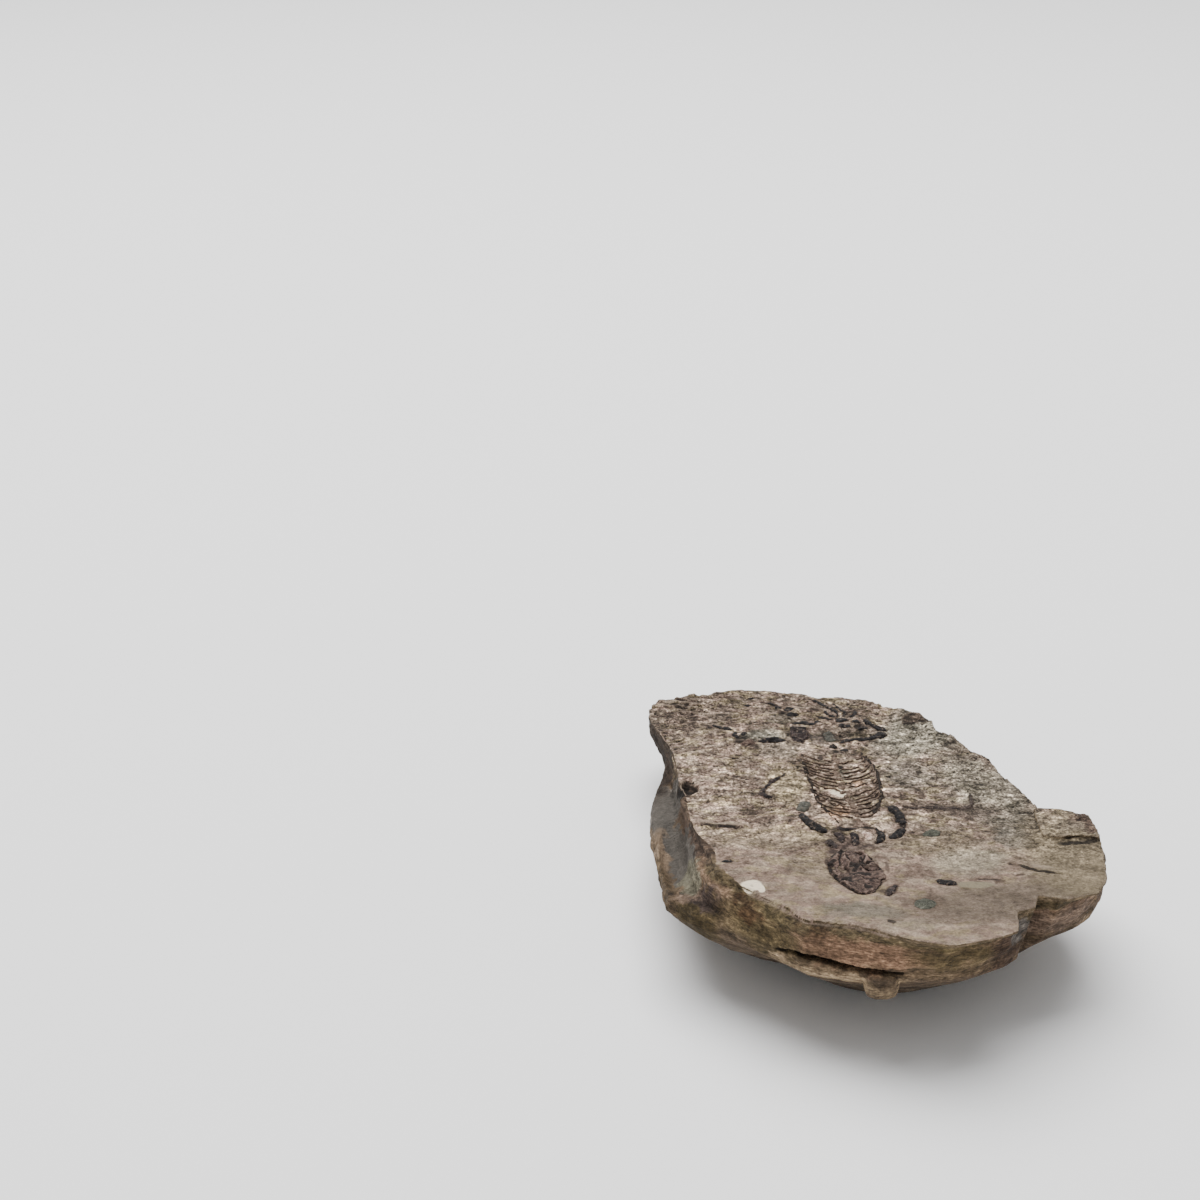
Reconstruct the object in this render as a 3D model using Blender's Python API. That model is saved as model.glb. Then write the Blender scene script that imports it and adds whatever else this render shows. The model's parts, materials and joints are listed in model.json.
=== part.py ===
"""Half of a split stone nodule with the skeleton of a small parareptile.

The half lies on its rounded outside with the split face up. The face slopes
down a little away from the viewer. The animal lies along Y, its head towards
-Y, and each bone sits in its own bed in the stone. Plan positions are written
in millimetres on the split face and are turned into metres by MM.
"""
import math
import random

import bmesh
import bpy
from mathutils import Vector, noise

MM = 0.001
SEED = 41

# The split face: its height at the middle, and its slope down towards +Y
FACE_HEIGHT = 36.0
FACE_SLOPE = math.radians(6.0)
ABOVE_FACE = 58.0
# Broad and finer swells of the face, and its fine unevenness: how high and how far apart
BROAD_SWELL = (0.5, 17.0, 21.0)
FINE_SWELL = (0.25, 6.0, 9.0)
FACE_ROUGHNESS = 0.35
FACE_GRAIN = 0.16
CENTRE_SHIFT = (-0.1, -1.65)

# Clear space between a bone and its bed
GAP = 0.3
BED_OFFSET = 1.45 * GAP

# Outline of the split face, clockwise from the far left corner
FACE_OUTLINE = [
    (-69, 80), (-66, 89), (-54, 93.5), (-45, 96), (-40, 99), (-34, 101), (-26, 100), (-20, 97.5),
    (-13, 96), (-8, 93), (0, 95), (7, 92), (12, 87.5), (15.5, 83), (22, 79.5), (27, 74.5),
    (30.5, 68), (30.5, 60), (34.5, 56.5), (38, 50), (40.5, 44), (46, 39.5), (46.5, 28), (48.5, 20),
    (51.5, 12), (52.5, -3), (60, -4), (65, -5.5), (70, -9.5), (70, -22), (68.5, -37), (66, -56),
    (62.5, -66), (48.5, -71), (35, -75), (34, -90), (24, -95), (13.5, -98), (4, -95.5),
    (-1, -92.5), (-8, -85), (-12.5, -82), (-26, -79), (-33, -68.5), (-43.5, -57.5),
    (-50.5, -50.5), (-50.5, -37), (-56, -16.5), (-59.5, -5), (-60.5, 2.5), (-58, 8), (-60, 20),
    (-61, 35), (-62, 47), (-66, 61), (-69, 72),
]
# Widest outline of the stone lower down, where the bench and the lip stand out
GIRTH_OUTLINE = [
    (-68, 80), (-65, 88), (-54, 91), (-35, 98.5), (-20, 95.5), (0, 93.5), (10, 86.5), (20, 78),
    (28, 70), (30, 60), (37, 49), (43, 40), (45.5, 28), (50.5, 12), (53, -1), (64, -5), (69, -12),
    (70, -30), (69, -40), (64.5, -51), (60, -58), (49, -65), (43, -71), (34, -80), (28, -86),
    (14, -90.5), (-2, -91), (-12, -90), (-24, -87.5), (-30, -84.5), (-34, -79.5), (-41, -73), (-52, -63),
    (-61.2, -56.2), (-66.4, -48.5), (-67.5, -33), (-69.5, -12), (-70, 12), (-68.5, 30), (-63, 45), (-64, 60),
]
# The worn flat that the half rests on, an ellipse
REST_CENTRE = (2.0, 4.0)
REST_RADII = (38.0, 58.0)

# Wall sections from the face down: share of the face's height, how far the
# section has moved from the face outline to the girth, and how far it has then
# tucked in to the resting flat. Each pair holds for the left and for the rest
WALL_SECTIONS = [
    (0.97, (0.02, 0.25), (0.00, 0.00)),
    (0.93, (0.08, 0.72), (0.00, 0.00)),
    (0.78, (0.22, 0.84), (0.00, 0.00)),
    (0.74, (0.90, 1.00), (0.00, 0.00)),
    (0.64, (1.00, 1.00), (0.00, 0.02)),
    (0.50, (1.00, 1.00), (0.06, 0.22)),
    (0.32, (1.00, 1.00), (0.25, 0.50)),
    (0.14, (1.00, 1.00), (0.57, 0.78)),
]
# Where the left profile turns into the other one
PROFILE_BLEND = (-60.0, -40.0)
SECTION_SPACING = 12.0
WALL_ROUGHNESS = 0.7
WALL_GRAIN = 0.11
# Above this share of the height the unevenness only goes inward
LIP_SHARE = 0.6

# Relief of the split face
RELIEF_CELL = 10.0
FACE_BLOCK = (76.0, 106.0)
FACE_BLOCK_TOP = 75.0
RIM_FOOT = ((13.0, 81.0), (29.0, 55.0))
RIM_HEIGHT = 1.8
RIM_SLOPE = 4.0
RIM_START = (50.0, 58.0)

# Raised flake of the next bed, left on the lobe
FLAKE_OUTLINE = [
    (52.6, -5.0), (60, -5.6), (64.4, -7.0), (69.0, -11.0), (69.2, -21), (68.6, -27.6), (63, -26.8),
    (57.6, -28.2), (51.8, -26.4),
]
FLAKE_HEIGHT = 1.5
FLAKE_ROOT = 2.5

# Hollow along the bench: centre and radii
HOLLOW_CENTRE = (-63.4, -17.0, 33.5)
HOLLOW_RADII = (5.6, 30.0, 9.0)

# Crack along the bedding of the near wall, its lip and the lump under it
CRACK_LINE = [
    (-35.0, -77.0, 32.5), (-28.0, -83.0, 33.8), (-17.0, -87.2, 32.9), (-10.5, -89.4, 32.4), (1.5, -91.0, 31.8),
]
CRACK_GAPE = 1.1
CRACK_DEPTH = 6.0
LUMP_CENTRE = (-5.2, -88.0, 28.2)
LUMP_SIZE = (10.0, 11.5, 9.0)

# Broken facets of the wall: a point on each cut, and the way it faces
FACETS = [
    ((34.0, -84.0, 30.0), (0.93, -0.30, -0.22)),
    ((62.0, -61.2, 32.0), (0.62, -0.76, -0.18)),
    ((69.6, -7.2, 34.6), (0.80, 0.52, 0.30)),
    ((-66.2, -52.0, 22.0), (-0.72, -0.66, -0.20)),
    ((-68.3, 68.0, 14.0), (-0.93, 0.10, -0.36)),
]
FACET_BLOCK = 40.0

# Borders of the rib basket on both sides of the backbone
BACKBONE = [(-6.6, 40), (-7.4, 30), (-7.6, 20), (-6.9, 10), (-5.9, 0), (-4.9, -9), (-4.6, -14)]
LEFT_FLANK = [(-18.0, 42), (-18.6, 30), (-18.2, 18), (-17.0, 6), (-15.2, -3), (-12.5, -12), (-9.5, -18)]
RIGHT_FLANK = [(3.4, 42), (5.6, 30), (6.0, 18), (5.0, 6), (3.4, -3), (0.6, -12), (-1.6, -18)]
RIB_PAIRS = 13
RIB_SWEEP = 9.5
RIB_REACH = 0.93
RIB_BEND = (0.66, 0.24)
FIRST_RIB_INSET = 6.0
LAST_RIB_TIP = 39.0
RIB_RADIUS = 0.62
VERTEBRA_RADIUS = 1.35
BASKET_BED_DEPTH = 1.6

# How much joints swell on a bone, how far its ends draw in, and how uneven lumps are
KNUCKLE_SWELL = 0.3
END_TAPER = 0.55
LUMP_UNEVENNESS = 0.22

# Bones too thin to need six sides
THIN_BARS = ("left_hand", "right_hand", "left_shin_splint")

# Eye openings of the skull, and how wide their edges run
EYES = [(-12.6, -49.5), (-4.8, -49.5)]
EYE_SPREAD = 3.6
EYE_DEPTH = 1.6
CREST_X = -8.7
CREST_WIDTH = 1.5
CREST_HEIGHT = 0.7
WRINKLE_HEIGHT = 0.55

# Colours and roughness of the finishes
STONE = ((0.33, 0.27, 0.235), 0.88)
BLACK_BONE = ((0.035, 0.03, 0.03), 0.45)
PURPLE_BONE = ((0.10, 0.068, 0.075), 0.6)
GREY_BONE = ((0.17, 0.17, 0.165), 0.55)
PALE_BONE = ((0.58, 0.47, 0.43), 0.6)
GREEN_STONE = ((0.20, 0.21, 0.18), 0.7)


def clear_scene():
    """Remove every object that the file opened with."""
    for item in list(bpy.data.objects):
        bpy.data.objects.remove(item, do_unlink=True)


def make_collections():
    """Return the collection for the parts and the one for the cutters."""
    parts = bpy.data.collections.new("fossil_half")
    cutters = bpy.data.collections.new("cutters")
    for item in (parts, cutters):
        bpy.context.scene.collection.children.link(item)
    return parts, cutters


def finish_material(name, finish):
    """Return a plain Principled material with the finish's colour and roughness."""
    colour, roughness = finish
    material = bpy.data.materials.new(name + "_finish")
    material.use_nodes = True
    shader = material.node_tree.nodes["Principled BSDF"]
    shader.inputs["Base Color"].default_value = (*colour, 1.0)
    shader.inputs["Roughness"].default_value = roughness
    shader.inputs["Metallic"].default_value = 0.0
    return material


def smoothstep(low, high, value):
    """Return 0 below low, 1 above high, and a smooth ramp between."""
    t = min(max((value - low) / (high - low), 0.0), 1.0)
    return t * t * (3.0 - 2.0 * t)


def face_height(x, y):
    """Return the height of the split face, in millimetres, over a plan point."""
    height = FACE_HEIGHT - math.tan(FACE_SLOPE) * y
    rise, across, along = BROAD_SWELL
    height += rise * math.sin(x / across + 1.0) * math.cos(y / along)
    rise, across, along = FINE_SWELL
    height += rise * math.sin(x / across + y / along)
    (ax, ay), (bx, by) = RIM_FOOT
    run, climb = bx - ax, by - ay
    beyond = ((x - ax) * -climb + (y - ay) * run) / math.hypot(run, climb)
    height += RIM_HEIGHT * smoothstep(0.0, RIM_SLOPE, beyond) * smoothstep(*RIM_START, y)
    return height


def ray_radius(outline, angle):
    """Return how far from the middle the outline lies in one direction."""
    dx, dy = math.cos(angle), math.sin(angle)
    best = 0.0
    for (ax, ay), (bx, by) in zip(outline, outline[1:] + outline[:1]):
        ex, ey = bx - ax, by - ay
        cross = dx * ey - dy * ex
        if abs(cross) < 1e-9:
            continue
        along = (ax * ey - ay * ex) / cross
        share = (ax * dy - ay * dx) / cross
        if along > 0 and -1e-9 <= share <= 1 + 1e-9:
            best = max(best, along)
    return best


def spread_directions(outline):
    """Return the outline's corner directions with more between them where they lie far apart."""
    angles = []
    for (ax, ay), (bx, by) in zip(outline, outline[1:] + outline[:1]):
        steps = max(1, round(math.hypot(bx - ax, by - ay) / SECTION_SPACING))
        for step in range(steps):
            t = step / steps
            angles.append(math.atan2(ay + (by - ay) * t, ax + (bx - ax) * t))
    return sorted(angles)


def close_mesh(mesh_builder, mesh):
    """Write a bmesh into a mesh as flat triangles that point out, so that every cut is exact."""
    bmesh.ops.triangulate(mesh_builder, faces=mesh_builder.faces[:])
    mesh_builder.normal_update()
    bmesh.ops.recalc_face_normals(mesh_builder, faces=mesh_builder.faces)
    mesh_builder.to_mesh(mesh)
    mesh_builder.free()


def link_mesh(name, mesh_builder, collection):
    """Turn a bmesh into an object in the collection."""
    mesh = bpy.data.meshes.new(name)
    close_mesh(mesh_builder, mesh)
    item = bpy.data.objects.new(name, mesh)
    collection.objects.link(item)
    return item


def hide_cutter(item):
    """Mark an object as a cutter."""
    item.hide_render = True
    item.display_type = "WIRE"


def scaled(x, y, z):
    """Return a point given in millimetres as a vector in metres."""
    return Vector((x, y, z)) * MM


def build_stone_block(collection):
    """Loft the stone from the resting flat up through the girth to above the face."""
    rng = random.Random(SEED)
    angles = spread_directions(FACE_OUTLINE)
    face = [(ray_radius(FACE_OUTLINE, a), a) for a in angles]
    girth = [(ray_radius(GIRTH_OUTLINE, a), a) for a in angles]
    rest = []
    for a in angles:
        rest.append((REST_CENTRE[0] + REST_RADII[0] * math.cos(a), REST_CENTRE[1] + REST_RADII[1] * math.sin(a)))
    builder = bmesh.new()
    rings = [[builder.verts.new(scaled(r * math.cos(a), r * math.sin(a), ABOVE_FACE)) for r, a in face]]
    for share, reach, tuck in WALL_SECTIONS:
        ring = []
        for (face_r, a), (girth_r, _), (rest_x, rest_y) in zip(face, girth, rest):
            blend = smoothstep(*PROFILE_BLEND, face_r * math.cos(a))
            r = face_r + (girth_r - face_r) * (reach[0] + (reach[1] - reach[0]) * blend)
            x, y = r * math.cos(a), r * math.sin(a)
            top = face_height(x, y)
            to_rest = tuck[0] + (tuck[1] - tuck[0]) * blend
            x += (rest_x - x) * to_rest
            y += (rest_y - y) * to_rest
            bump = noise.noise(Vector((x, y, 3.0 * share * top)) * WALL_GRAIN) * 2.0 * WALL_ROUGHNESS
            bump += rng.uniform(-0.4, 0.4) * WALL_ROUGHNESS
            length = math.hypot(x, y)
            inward = min(bump, 0.0) if share > LIP_SHARE else bump
            ring.append(builder.verts.new(scaled(x + x / length * inward, y + y / length * inward, share * top)))
        rings.append(ring)
    rings.append([builder.verts.new(scaled(x, y, 0.0)) for x, y in rest])
    for upper, lower in zip(rings, rings[1:]):
        for i in range(len(upper)):
            j = (i + 1) % len(upper)
            builder.faces.new((upper[i], upper[j], lower[j], lower[i]))
    builder.faces.new(rings[0])
    builder.faces.new(rings[-1])
    return link_mesh("matrix_slab", builder, collection)


def build_face_cutter(collection):
    """Block whose underside is the relief of the split face."""
    half_x, half_y = FACE_BLOCK
    builder = bmesh.new()
    bmesh.ops.create_grid(
        builder,
        x_segments=round(2 * half_x / RELIEF_CELL),
        y_segments=round(2 * half_y / RELIEF_CELL),
        size=1.0,
    )
    for vert in builder.verts:
        x, y = vert.co.x * half_x, vert.co.y * half_y
        rough = FACE_ROUGHNESS * noise.noise(Vector((x, y, 0.0)) * FACE_GRAIN)
        vert.co = scaled(x, y, face_height(x, y) + rough)
    lid = bmesh.ops.extrude_face_region(builder, geom=builder.faces[:])
    for element in lid["geom"]:
        if isinstance(element, bmesh.types.BMVert):
            element.co.z = FACE_BLOCK_TOP * MM
    return link_mesh("face_cutter", builder, collection)


def build_flake(collection):
    """Low ledge with the flake's outline, rooted in the stone under the face."""
    builder = bmesh.new()
    foot = [builder.verts.new(scaled(x, y, face_height(x, y) - FLAKE_ROOT)) for x, y in FLAKE_OUTLINE]
    top = bmesh.ops.extrude_face_region(builder, geom=[builder.faces.new(foot)])
    for element in top["geom"]:
        if isinstance(element, bmesh.types.BMVert):
            element.co.z += (FLAKE_ROOT + FLAKE_HEIGHT) * MM
    return link_mesh("flake", builder, collection)


def build_hollow_cutter(collection):
    """Long ellipsoid that scoops the hollow along the bench."""
    builder = bmesh.new()
    bmesh.ops.create_uvsphere(builder, u_segments=12, v_segments=8, radius=1.0)
    for vert in builder.verts:
        x, y, z = (c + r * p for c, r, p in zip(HOLLOW_CENTRE, HOLLOW_RADII, vert.co))
        vert.co = scaled(x, y, z)
    return link_mesh("hollow_cutter", builder, collection)


def build_crack_cutter(collection):
    """Thin wedge along the bedding, widest in the middle and closed at both ends."""
    builder = bmesh.new()
    points = smooth_path(CRACK_LINE, 7)
    sections = []
    for i, (x, y, z) in enumerate(points):
        gape = CRACK_GAPE * (0.15 + 0.85 * math.sin(math.pi * i / (len(points) - 1)))
        outer_x, outer_y = x - 0.5 * CRACK_DEPTH, y - 2.0 * CRACK_DEPTH
        corners = [
            (x + 0.35 * CRACK_DEPTH, y + CRACK_DEPTH, z),
            (x, y, z + gape),
            (outer_x, outer_y, z + 2.2 * gape),
            (outer_x, outer_y, z - 1.2 * gape),
            (x, y, z - 0.6 * gape),
        ]
        sections.append([builder.verts.new(scaled(*corner)) for corner in corners])
    for left, right in zip(sections, sections[1:]):
        for i in range(len(left)):
            j = (i + 1) % len(left)
            builder.faces.new((left[i], left[j], right[j], right[i]))
    builder.faces.new(sections[0])
    builder.faces.new(sections[-1])
    return link_mesh("crack_cutter", builder, collection)


def build_lump(collection):
    """Rounded block that hangs under the lip."""
    builder = bmesh.new()
    bmesh.ops.create_icosphere(builder, subdivisions=2, radius=1.0)
    for vert in builder.verts:
        squared = [math.copysign(abs(p) ** 0.6, p) for p in vert.co]
        x, y, z = (c + 0.5 * s * p for c, s, p in zip(LUMP_CENTRE, LUMP_SIZE, squared))
        vert.co = scaled(x, y, z)
    return link_mesh("lip_lump", builder, collection)


def build_facet_cutters(collection):
    """Blocks that break flat facets off the wall."""
    blocks = []
    for number, (place, facing) in enumerate(FACETS, 1):
        normal = Vector(facing).normalized()
        builder = bmesh.new()
        bmesh.ops.create_cube(builder, size=1.0)
        turn = normal.to_track_quat("Z", "Y").to_matrix()
        for vert in builder.verts:
            local = turn @ Vector((vert.co.x, vert.co.y, vert.co.z + 0.5))
            vert.co = (Vector(place) + local * FACET_BLOCK) * MM
        blocks.append(link_mesh(f"facet_cutter_{number}", builder, collection))
    return blocks


def smooth_path(points, samples):
    """Return points along a smooth curve through the given plan points."""
    last = len(points) - 1
    path = []
    for k in range(samples):
        position = k / (samples - 1) * last
        i = min(int(position), last - 1)
        t = position - i
        p0, p1, p2, p3 = (points[min(max(i + d, 0), last)] for d in (-1, 0, 1, 2))
        path.append(tuple(
            0.5 * (2 * b + (c - a) * t + (2 * a - 5 * b + 4 * c - d) * t ** 2 + (3 * b - a - 3 * c + d) * t ** 3)
            for a, b, c, d in zip(p0, p1, p2, p3)
        ))
    return path


def drape(mesh, lift, flat):
    """Lay a mesh that was made around height zero onto the split face."""
    for vert in mesh.vertices:
        x, y, z = (value / MM for value in vert.co)
        vert.co.z = (face_height(x, y) + lift + z * flat) * MM


def make_bar(name, points, radii, collection, samples=6, sides=6, knuckles=0, lift=0.1, flat=0.8):
    """Bone as a rounded bar along a path, its radius read from a list along it.

    With knuckles the bar swells at even steps, as a row of small joints does.
    """
    path = smooth_path(points, samples)
    curve = bpy.data.curves.new(name, "CURVE")
    curve.dimensions = "3D"
    curve.bevel_depth = MM
    curve.bevel_resolution = (sides - 4) // 2
    curve.use_fill_caps = True
    spline = curve.splines.new("POLY")
    spline.points.add(len(path) - 1)
    for i, ((x, y), point) in enumerate(zip(path, spline.points)):
        t = i / (len(path) - 1)
        position = t * (len(radii) - 1)
        k = min(int(position), len(radii) - 2)
        radius = radii[k] + (radii[k + 1] - radii[k]) * (position - k)
        if knuckles:
            radius *= 1.0 + KNUCKLE_SWELL * math.cos(2.0 * math.pi * knuckles * t)
        if i in (0, len(path) - 1):
            radius *= END_TAPER
        point.co = (x * MM, y * MM, 0.0, 1.0)
        point.radius = radius
    holder = bpy.data.objects.new(name, curve)
    bpy.context.scene.collection.objects.link(holder)
    bpy.context.view_layer.update()
    mesh = bpy.data.meshes.new_from_object(holder.evaluated_get(bpy.context.evaluated_depsgraph_get()))
    mesh.name = name
    bpy.data.objects.remove(holder)
    builder = bmesh.new()
    builder.from_mesh(mesh)
    bmesh.ops.remove_doubles(builder, verts=builder.verts, dist=0.00001)
    close_mesh(builder, mesh)
    drape(mesh, lift, flat)
    item = bpy.data.objects.new(name, mesh)
    collection.objects.link(item)
    return item


def make_lump(name, place, size, turn, collection, height=0.9, depth=0.9, seed=0, power=1.0):
    """Bone or nodule as an uneven oval lump that is half sunk in the face."""
    builder = bmesh.new()
    bmesh.ops.create_uvsphere(builder, u_segments=7, v_segments=4, radius=1.0)
    cos_t, sin_t = math.cos(math.radians(turn)), math.sin(math.radians(turn))
    for vert in builder.verts:
        uneven = 1.0 + LUMP_UNEVENNESS * noise.noise(vert.co * 1.7 + Vector((seed, 0.0, 0.0)))
        px, py, pz = (math.copysign(abs(p) ** power, p) * uneven for p in vert.co)
        across, along = px * size[0] / 2, py * size[1] / 2
        x = place[0] + across * cos_t - along * sin_t
        y = place[1] + across * sin_t + along * cos_t
        z = face_height(x, y) + (height if pz > 0 else depth) * pz
        vert.co = scaled(x, y, z)
    return link_mesh(name, builder, collection)


def make_plate(name, outline, collection, height, depth, segments=24, rings=10, power=0.55, relief=None):
    """Broad bone as a sphere that is pulled out to an outline, with relief on its top."""
    middle_x = sum(x for x, _ in outline) / len(outline)
    middle_y = sum(y for _, y in outline) / len(outline)
    local = [(x - middle_x, y - middle_y) for x, y in outline]
    builder = bmesh.new()
    bmesh.ops.create_uvsphere(builder, u_segments=segments, v_segments=rings, radius=1.0)
    for vert in builder.verts:
        spread = math.hypot(vert.co.x, vert.co.y)
        angle = math.atan2(vert.co.y, vert.co.x)
        reach = ray_radius(local, angle) * spread
        x = middle_x + reach * math.cos(angle)
        y = middle_y + reach * math.sin(angle)
        rise = math.copysign(abs(vert.co.z) ** power, vert.co.z)
        z = face_height(x, y) + (height if rise > 0 else depth) * rise
        if relief and rise > 0:
            z += relief(x, y) * rise
        vert.co = scaled(x, y, z)
    return link_mesh(name, builder, collection)


def skull_relief(x, y):
    """Eye openings, the crest between them and the wrinkled roof of the skull."""
    eyes = sum(math.exp(-((x - ex) ** 2 + (y - ey) ** 2) / EYE_SPREAD) for ex, ey in EYES)
    crest = math.exp(-((x - CREST_X) / CREST_WIDTH) ** 2)
    wrinkles = math.sin(1.3 * x + 0.7 * y) * math.cos(0.7 * x - 0.9 * y)
    return CREST_HEIGHT * crest - EYE_DEPTH * eyes + WRINKLE_HEIGHT * wrinkles


def flank_x(flank, y):
    """Return the x of a flank line at the given y."""
    for (ax, ay), (bx, by) in zip(flank, flank[1:]):
        if by <= y <= ay:
            return ax + (bx - ax) * (y - ay) / (by - ay)
    return flank[0][0] if y > flank[0][1] else flank[-1][0]


def merge_into(base, others):
    """Join closed shapes into one with Boolean unions and drop the operands."""
    for other in others:
        union = base.modifiers.new("join", "BOOLEAN")
        union.operation = "UNION"
        union.object = other
    bpy.context.view_layer.update()
    joined = bpy.data.meshes.new_from_object(base.evaluated_get(bpy.context.evaluated_depsgraph_get()))
    base.modifiers.clear()
    base.data = joined
    for other in others:
        bpy.data.objects.remove(other)
    return base


def build_rib_cage(collection):
    """Backbone with a pair of ribs at each step, swept back towards the tail."""
    backbone = make_bar(
        "rib_cage", BACKBONE, [VERTEBRA_RADIUS, VERTEBRA_RADIUS], collection,
        samples=2 * RIB_PAIRS + 1, sides=4, knuckles=RIB_PAIRS, lift=0.15, flat=0.75,
    )
    ribs = []
    for pair in range(RIB_PAIRS):
        t = (pair + 0.5) / RIB_PAIRS
        first = BACKBONE[0][1] - FIRST_RIB_INSET
        y = first + (BACKBONE[-1][1] - first) * t
        root_x = flank_x(BACKBONE, y)
        for flank in (LEFT_FLANK, RIGHT_FLANK):
            sweep = RIB_SWEEP * (0.65 + 0.35 * math.sin(math.pi * t))
            tip_y = min(y + sweep, LAST_RIB_TIP)
            tip_x = root_x + (flank_x(flank, tip_y) - root_x) * RIB_REACH
            middle = (root_x + (tip_x - root_x) * RIB_BEND[0], y + (tip_y - y) * RIB_BEND[1])
            path = [(root_x, y), middle, (tip_x, tip_y)]
            ribs.append(make_bar(
                f"rib_{len(ribs)}", path, [RIB_RADIUS, RIB_RADIUS, 0.6 * RIB_RADIUS], collection,
                samples=4, sides=4, lift=0.1, flat=0.8,
            ))
    return merge_into(backbone, ribs)


def build_basket_bed(collection):
    """Shallow dish in the face that holds the rib basket."""
    outline = LEFT_FLANK + RIGHT_FLANK[::-1]
    return make_plate("basket_bed", outline, collection, 4.0, BASKET_BED_DEPTH, segments=20, rings=8, power=0.3)


def build_toes(collection):
    """Five toes of the spread right foot, as knuckled bars."""
    toes = [
        [(-4.6, 70.2), (-7.2, 71.6), (-10.0, 74.0)],
        [(-3.6, 72.4), (-5.2, 75.4), (-6.5, 78.2)],
        [(-2.2, 73.2), (-2.7, 79.5), (-6.6, 84.8), (-9.6, 90.0)],
        [(-0.5, 73.4), (0.7, 77.2), (-0.8, 82.6), (-2.6, 87.4)],
        [(1.7, 73.6), (3.6, 75.4), (4.5, 79.4)],
    ]
    built = []
    for number, path in enumerate(toes, 1):
        built.append(make_bar(
            f"right_toe_{number}", path, [0.75, 0.6, 0.5], collection, samples=7, sides=4, knuckles=3,
        ))
    return built


def build_limb_bones(collection):
    """Long bones of the arms and legs, each a bar on its own path."""
    bars = {
        "left_upper_arm": ([(-15.2, -21.2), (-18.2, -19.8), (-21.2, -15.0), (-22.0, -10.4)], [1.7, 1.5, 1.2, 1.4], 7),
        "left_forearm": ([(-21.6, -6.2), (-20.8, -2.6), (-19.6, 0.8)], [1.3, 1.5, 1.2], 5),
        "left_hand": ([(-30.2, 4.2), (-33.6, 7.2), (-31.6, 12.4), (-29.8, 16.8), (-27.0, 20.4), (-24.2, 24.6)],
                      [0.8, 1.1, 0.7, 0.9, 0.6, 0.5], 11),
        "right_upper_arm": ([(4.8, -25.8), (6.8, -23.2), (8.8, -20.4)], [1.7, 1.5, 1.5], 5),
        "right_forearm": ([(9.6, -16.6), (8.4, -10.6), (6.8, -4.6)], [1.5, 1.25, 1.5], 6),
        "right_hand": ([(12.5, -4.8), (20.0, -5.0), (27.0, -3.6), (33.0, -1.6), (33.6, 3.0), (34.0, 8.0)],
                       [0.5, 0.7, 0.7, 0.6, 0.6, 0.8], 11),
        "left_thigh_bone": ([(-22.6, 51.4), (-26.0, 52.2), (-31.4, 50.8)], [1.1, 1.2, 0.7], 6),
        "left_shin_bone": ([(-38.6, 52.6), (-39.6, 55.6), (-39.2, 59.6)], [0.9, 0.7, 0.8], 5),
        "left_shin_splint": ([(-37.0, 55.2), (-35.6, 58.4)], [0.7, 0.6], 4),
        "left_foot_bones": ([(-40.4, 61.4), (-43.2, 63.6), (-46.8, 66.6)], [0.8, 0.9, 0.6], 6),
        "right_thigh_bone": ([(-3.4, 50.8), (0.0, 53.4), (5.0, 54.2), (9.6, 56.4), (12.6, 58.0)],
                             [0.7, 0.8, 0.8, 1.2, 1.6], 9),
        "right_shin_bone": ([(12.8, 61.8), (9.4, 65.2), (6.6, 69.6)], [1.3, 1.0, 1.3], 6),
        "hip_rim": ([(-19.2, 66.6), (-16.0, 68.2), (-12.0, 67.0), (-9.8, 69.4)], [0.6, 0.9, 0.8, 0.5], 7),
    }
    built = []
    for name, (path, radii, samples) in bars.items():
        sides = 4 if name in THIN_BARS else 6
        built.append(make_bar(name, path, radii, collection, samples=samples, sides=sides))
    return built


def build_shoulder_bones(collection):
    """Bones between the skull and the rib basket."""
    bars = {
        "neck_bones": ([(-15.2, -27.4), (-14.6, -30.6), (-12.8, -33.0)], [0.9, 1.0, 0.8]),
        "collar_bone": ([(-11.4, -19.4), (-8.6, -20.2), (-5.6, -19.4)], [0.9, 1.0, 0.7]),
        "breast_bone": ([(-7.2, -22.6), (-6.8, -26.0), (-7.2, -31.4)], [0.9, 1.3, 1.0]),
        "right_shoulder_bone": ([(0.8, -18.6), (1.7, -23.4), (0.2, -28.6)], [1.0, 1.0, 1.2]),
        "pale_shoulder_bone": ([(-4.0, -22.0), (-2.4, -23.6), (-2.2, -26.2)], [0.8, 1.2, 0.9]),
        "left_shoulder_bone": ([(-12.6, -22.4), (-11.4, -24.4), (-10.8, -28.6)], [1.1, 1.2, 0.8]),
        "jaw_fragment": ([(-1.2, -64.4), (0.2, -61.6), (2.0, -58.4)], [0.8, 1.0, 0.9]),
    }
    return [make_bar(name, path, radii, collection, samples=5) for name, (path, radii) in bars.items()]


def build_broad_bones(collection):
    """Skull and the two broad bones of the hip."""
    skull = [
        (-13.0, -36.5), (-15.5, -40), (-17.6, -45), (-17, -51), (-14.6, -58), (-12, -62.4), (-9, -64.6),
        (-5.6, -64.4), (-3.4, -61), (-1.2, -56), (-0.4, -50), (-1.8, -45), (-4, -41), (-5.4, -37), (-9, -35.6),
    ]
    left_hip = [(-20.4, 55), (-20, 63.6), (-17.6, 64.8), (-14.8, 63), (-14, 57), (-15.4, 51.6), (-18.8, 51)]
    right_hip = [(-9.2, 60), (-6.2, 59.6), (-5, 55), (-5.4, 51), (-8.4, 53.4)]
    return [
        make_plate("skull", skull, collection, 2.1, 1.3, segments=20, rings=8, power=0.8, relief=skull_relief),
        make_plate("left_hip_bone", left_hip, collection, 1.2, 1.2, segments=12, rings=6),
        make_plate("right_hip_bone", right_hip, collection, 1.0, 1.1, segments=10, rings=6),
    ]


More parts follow.
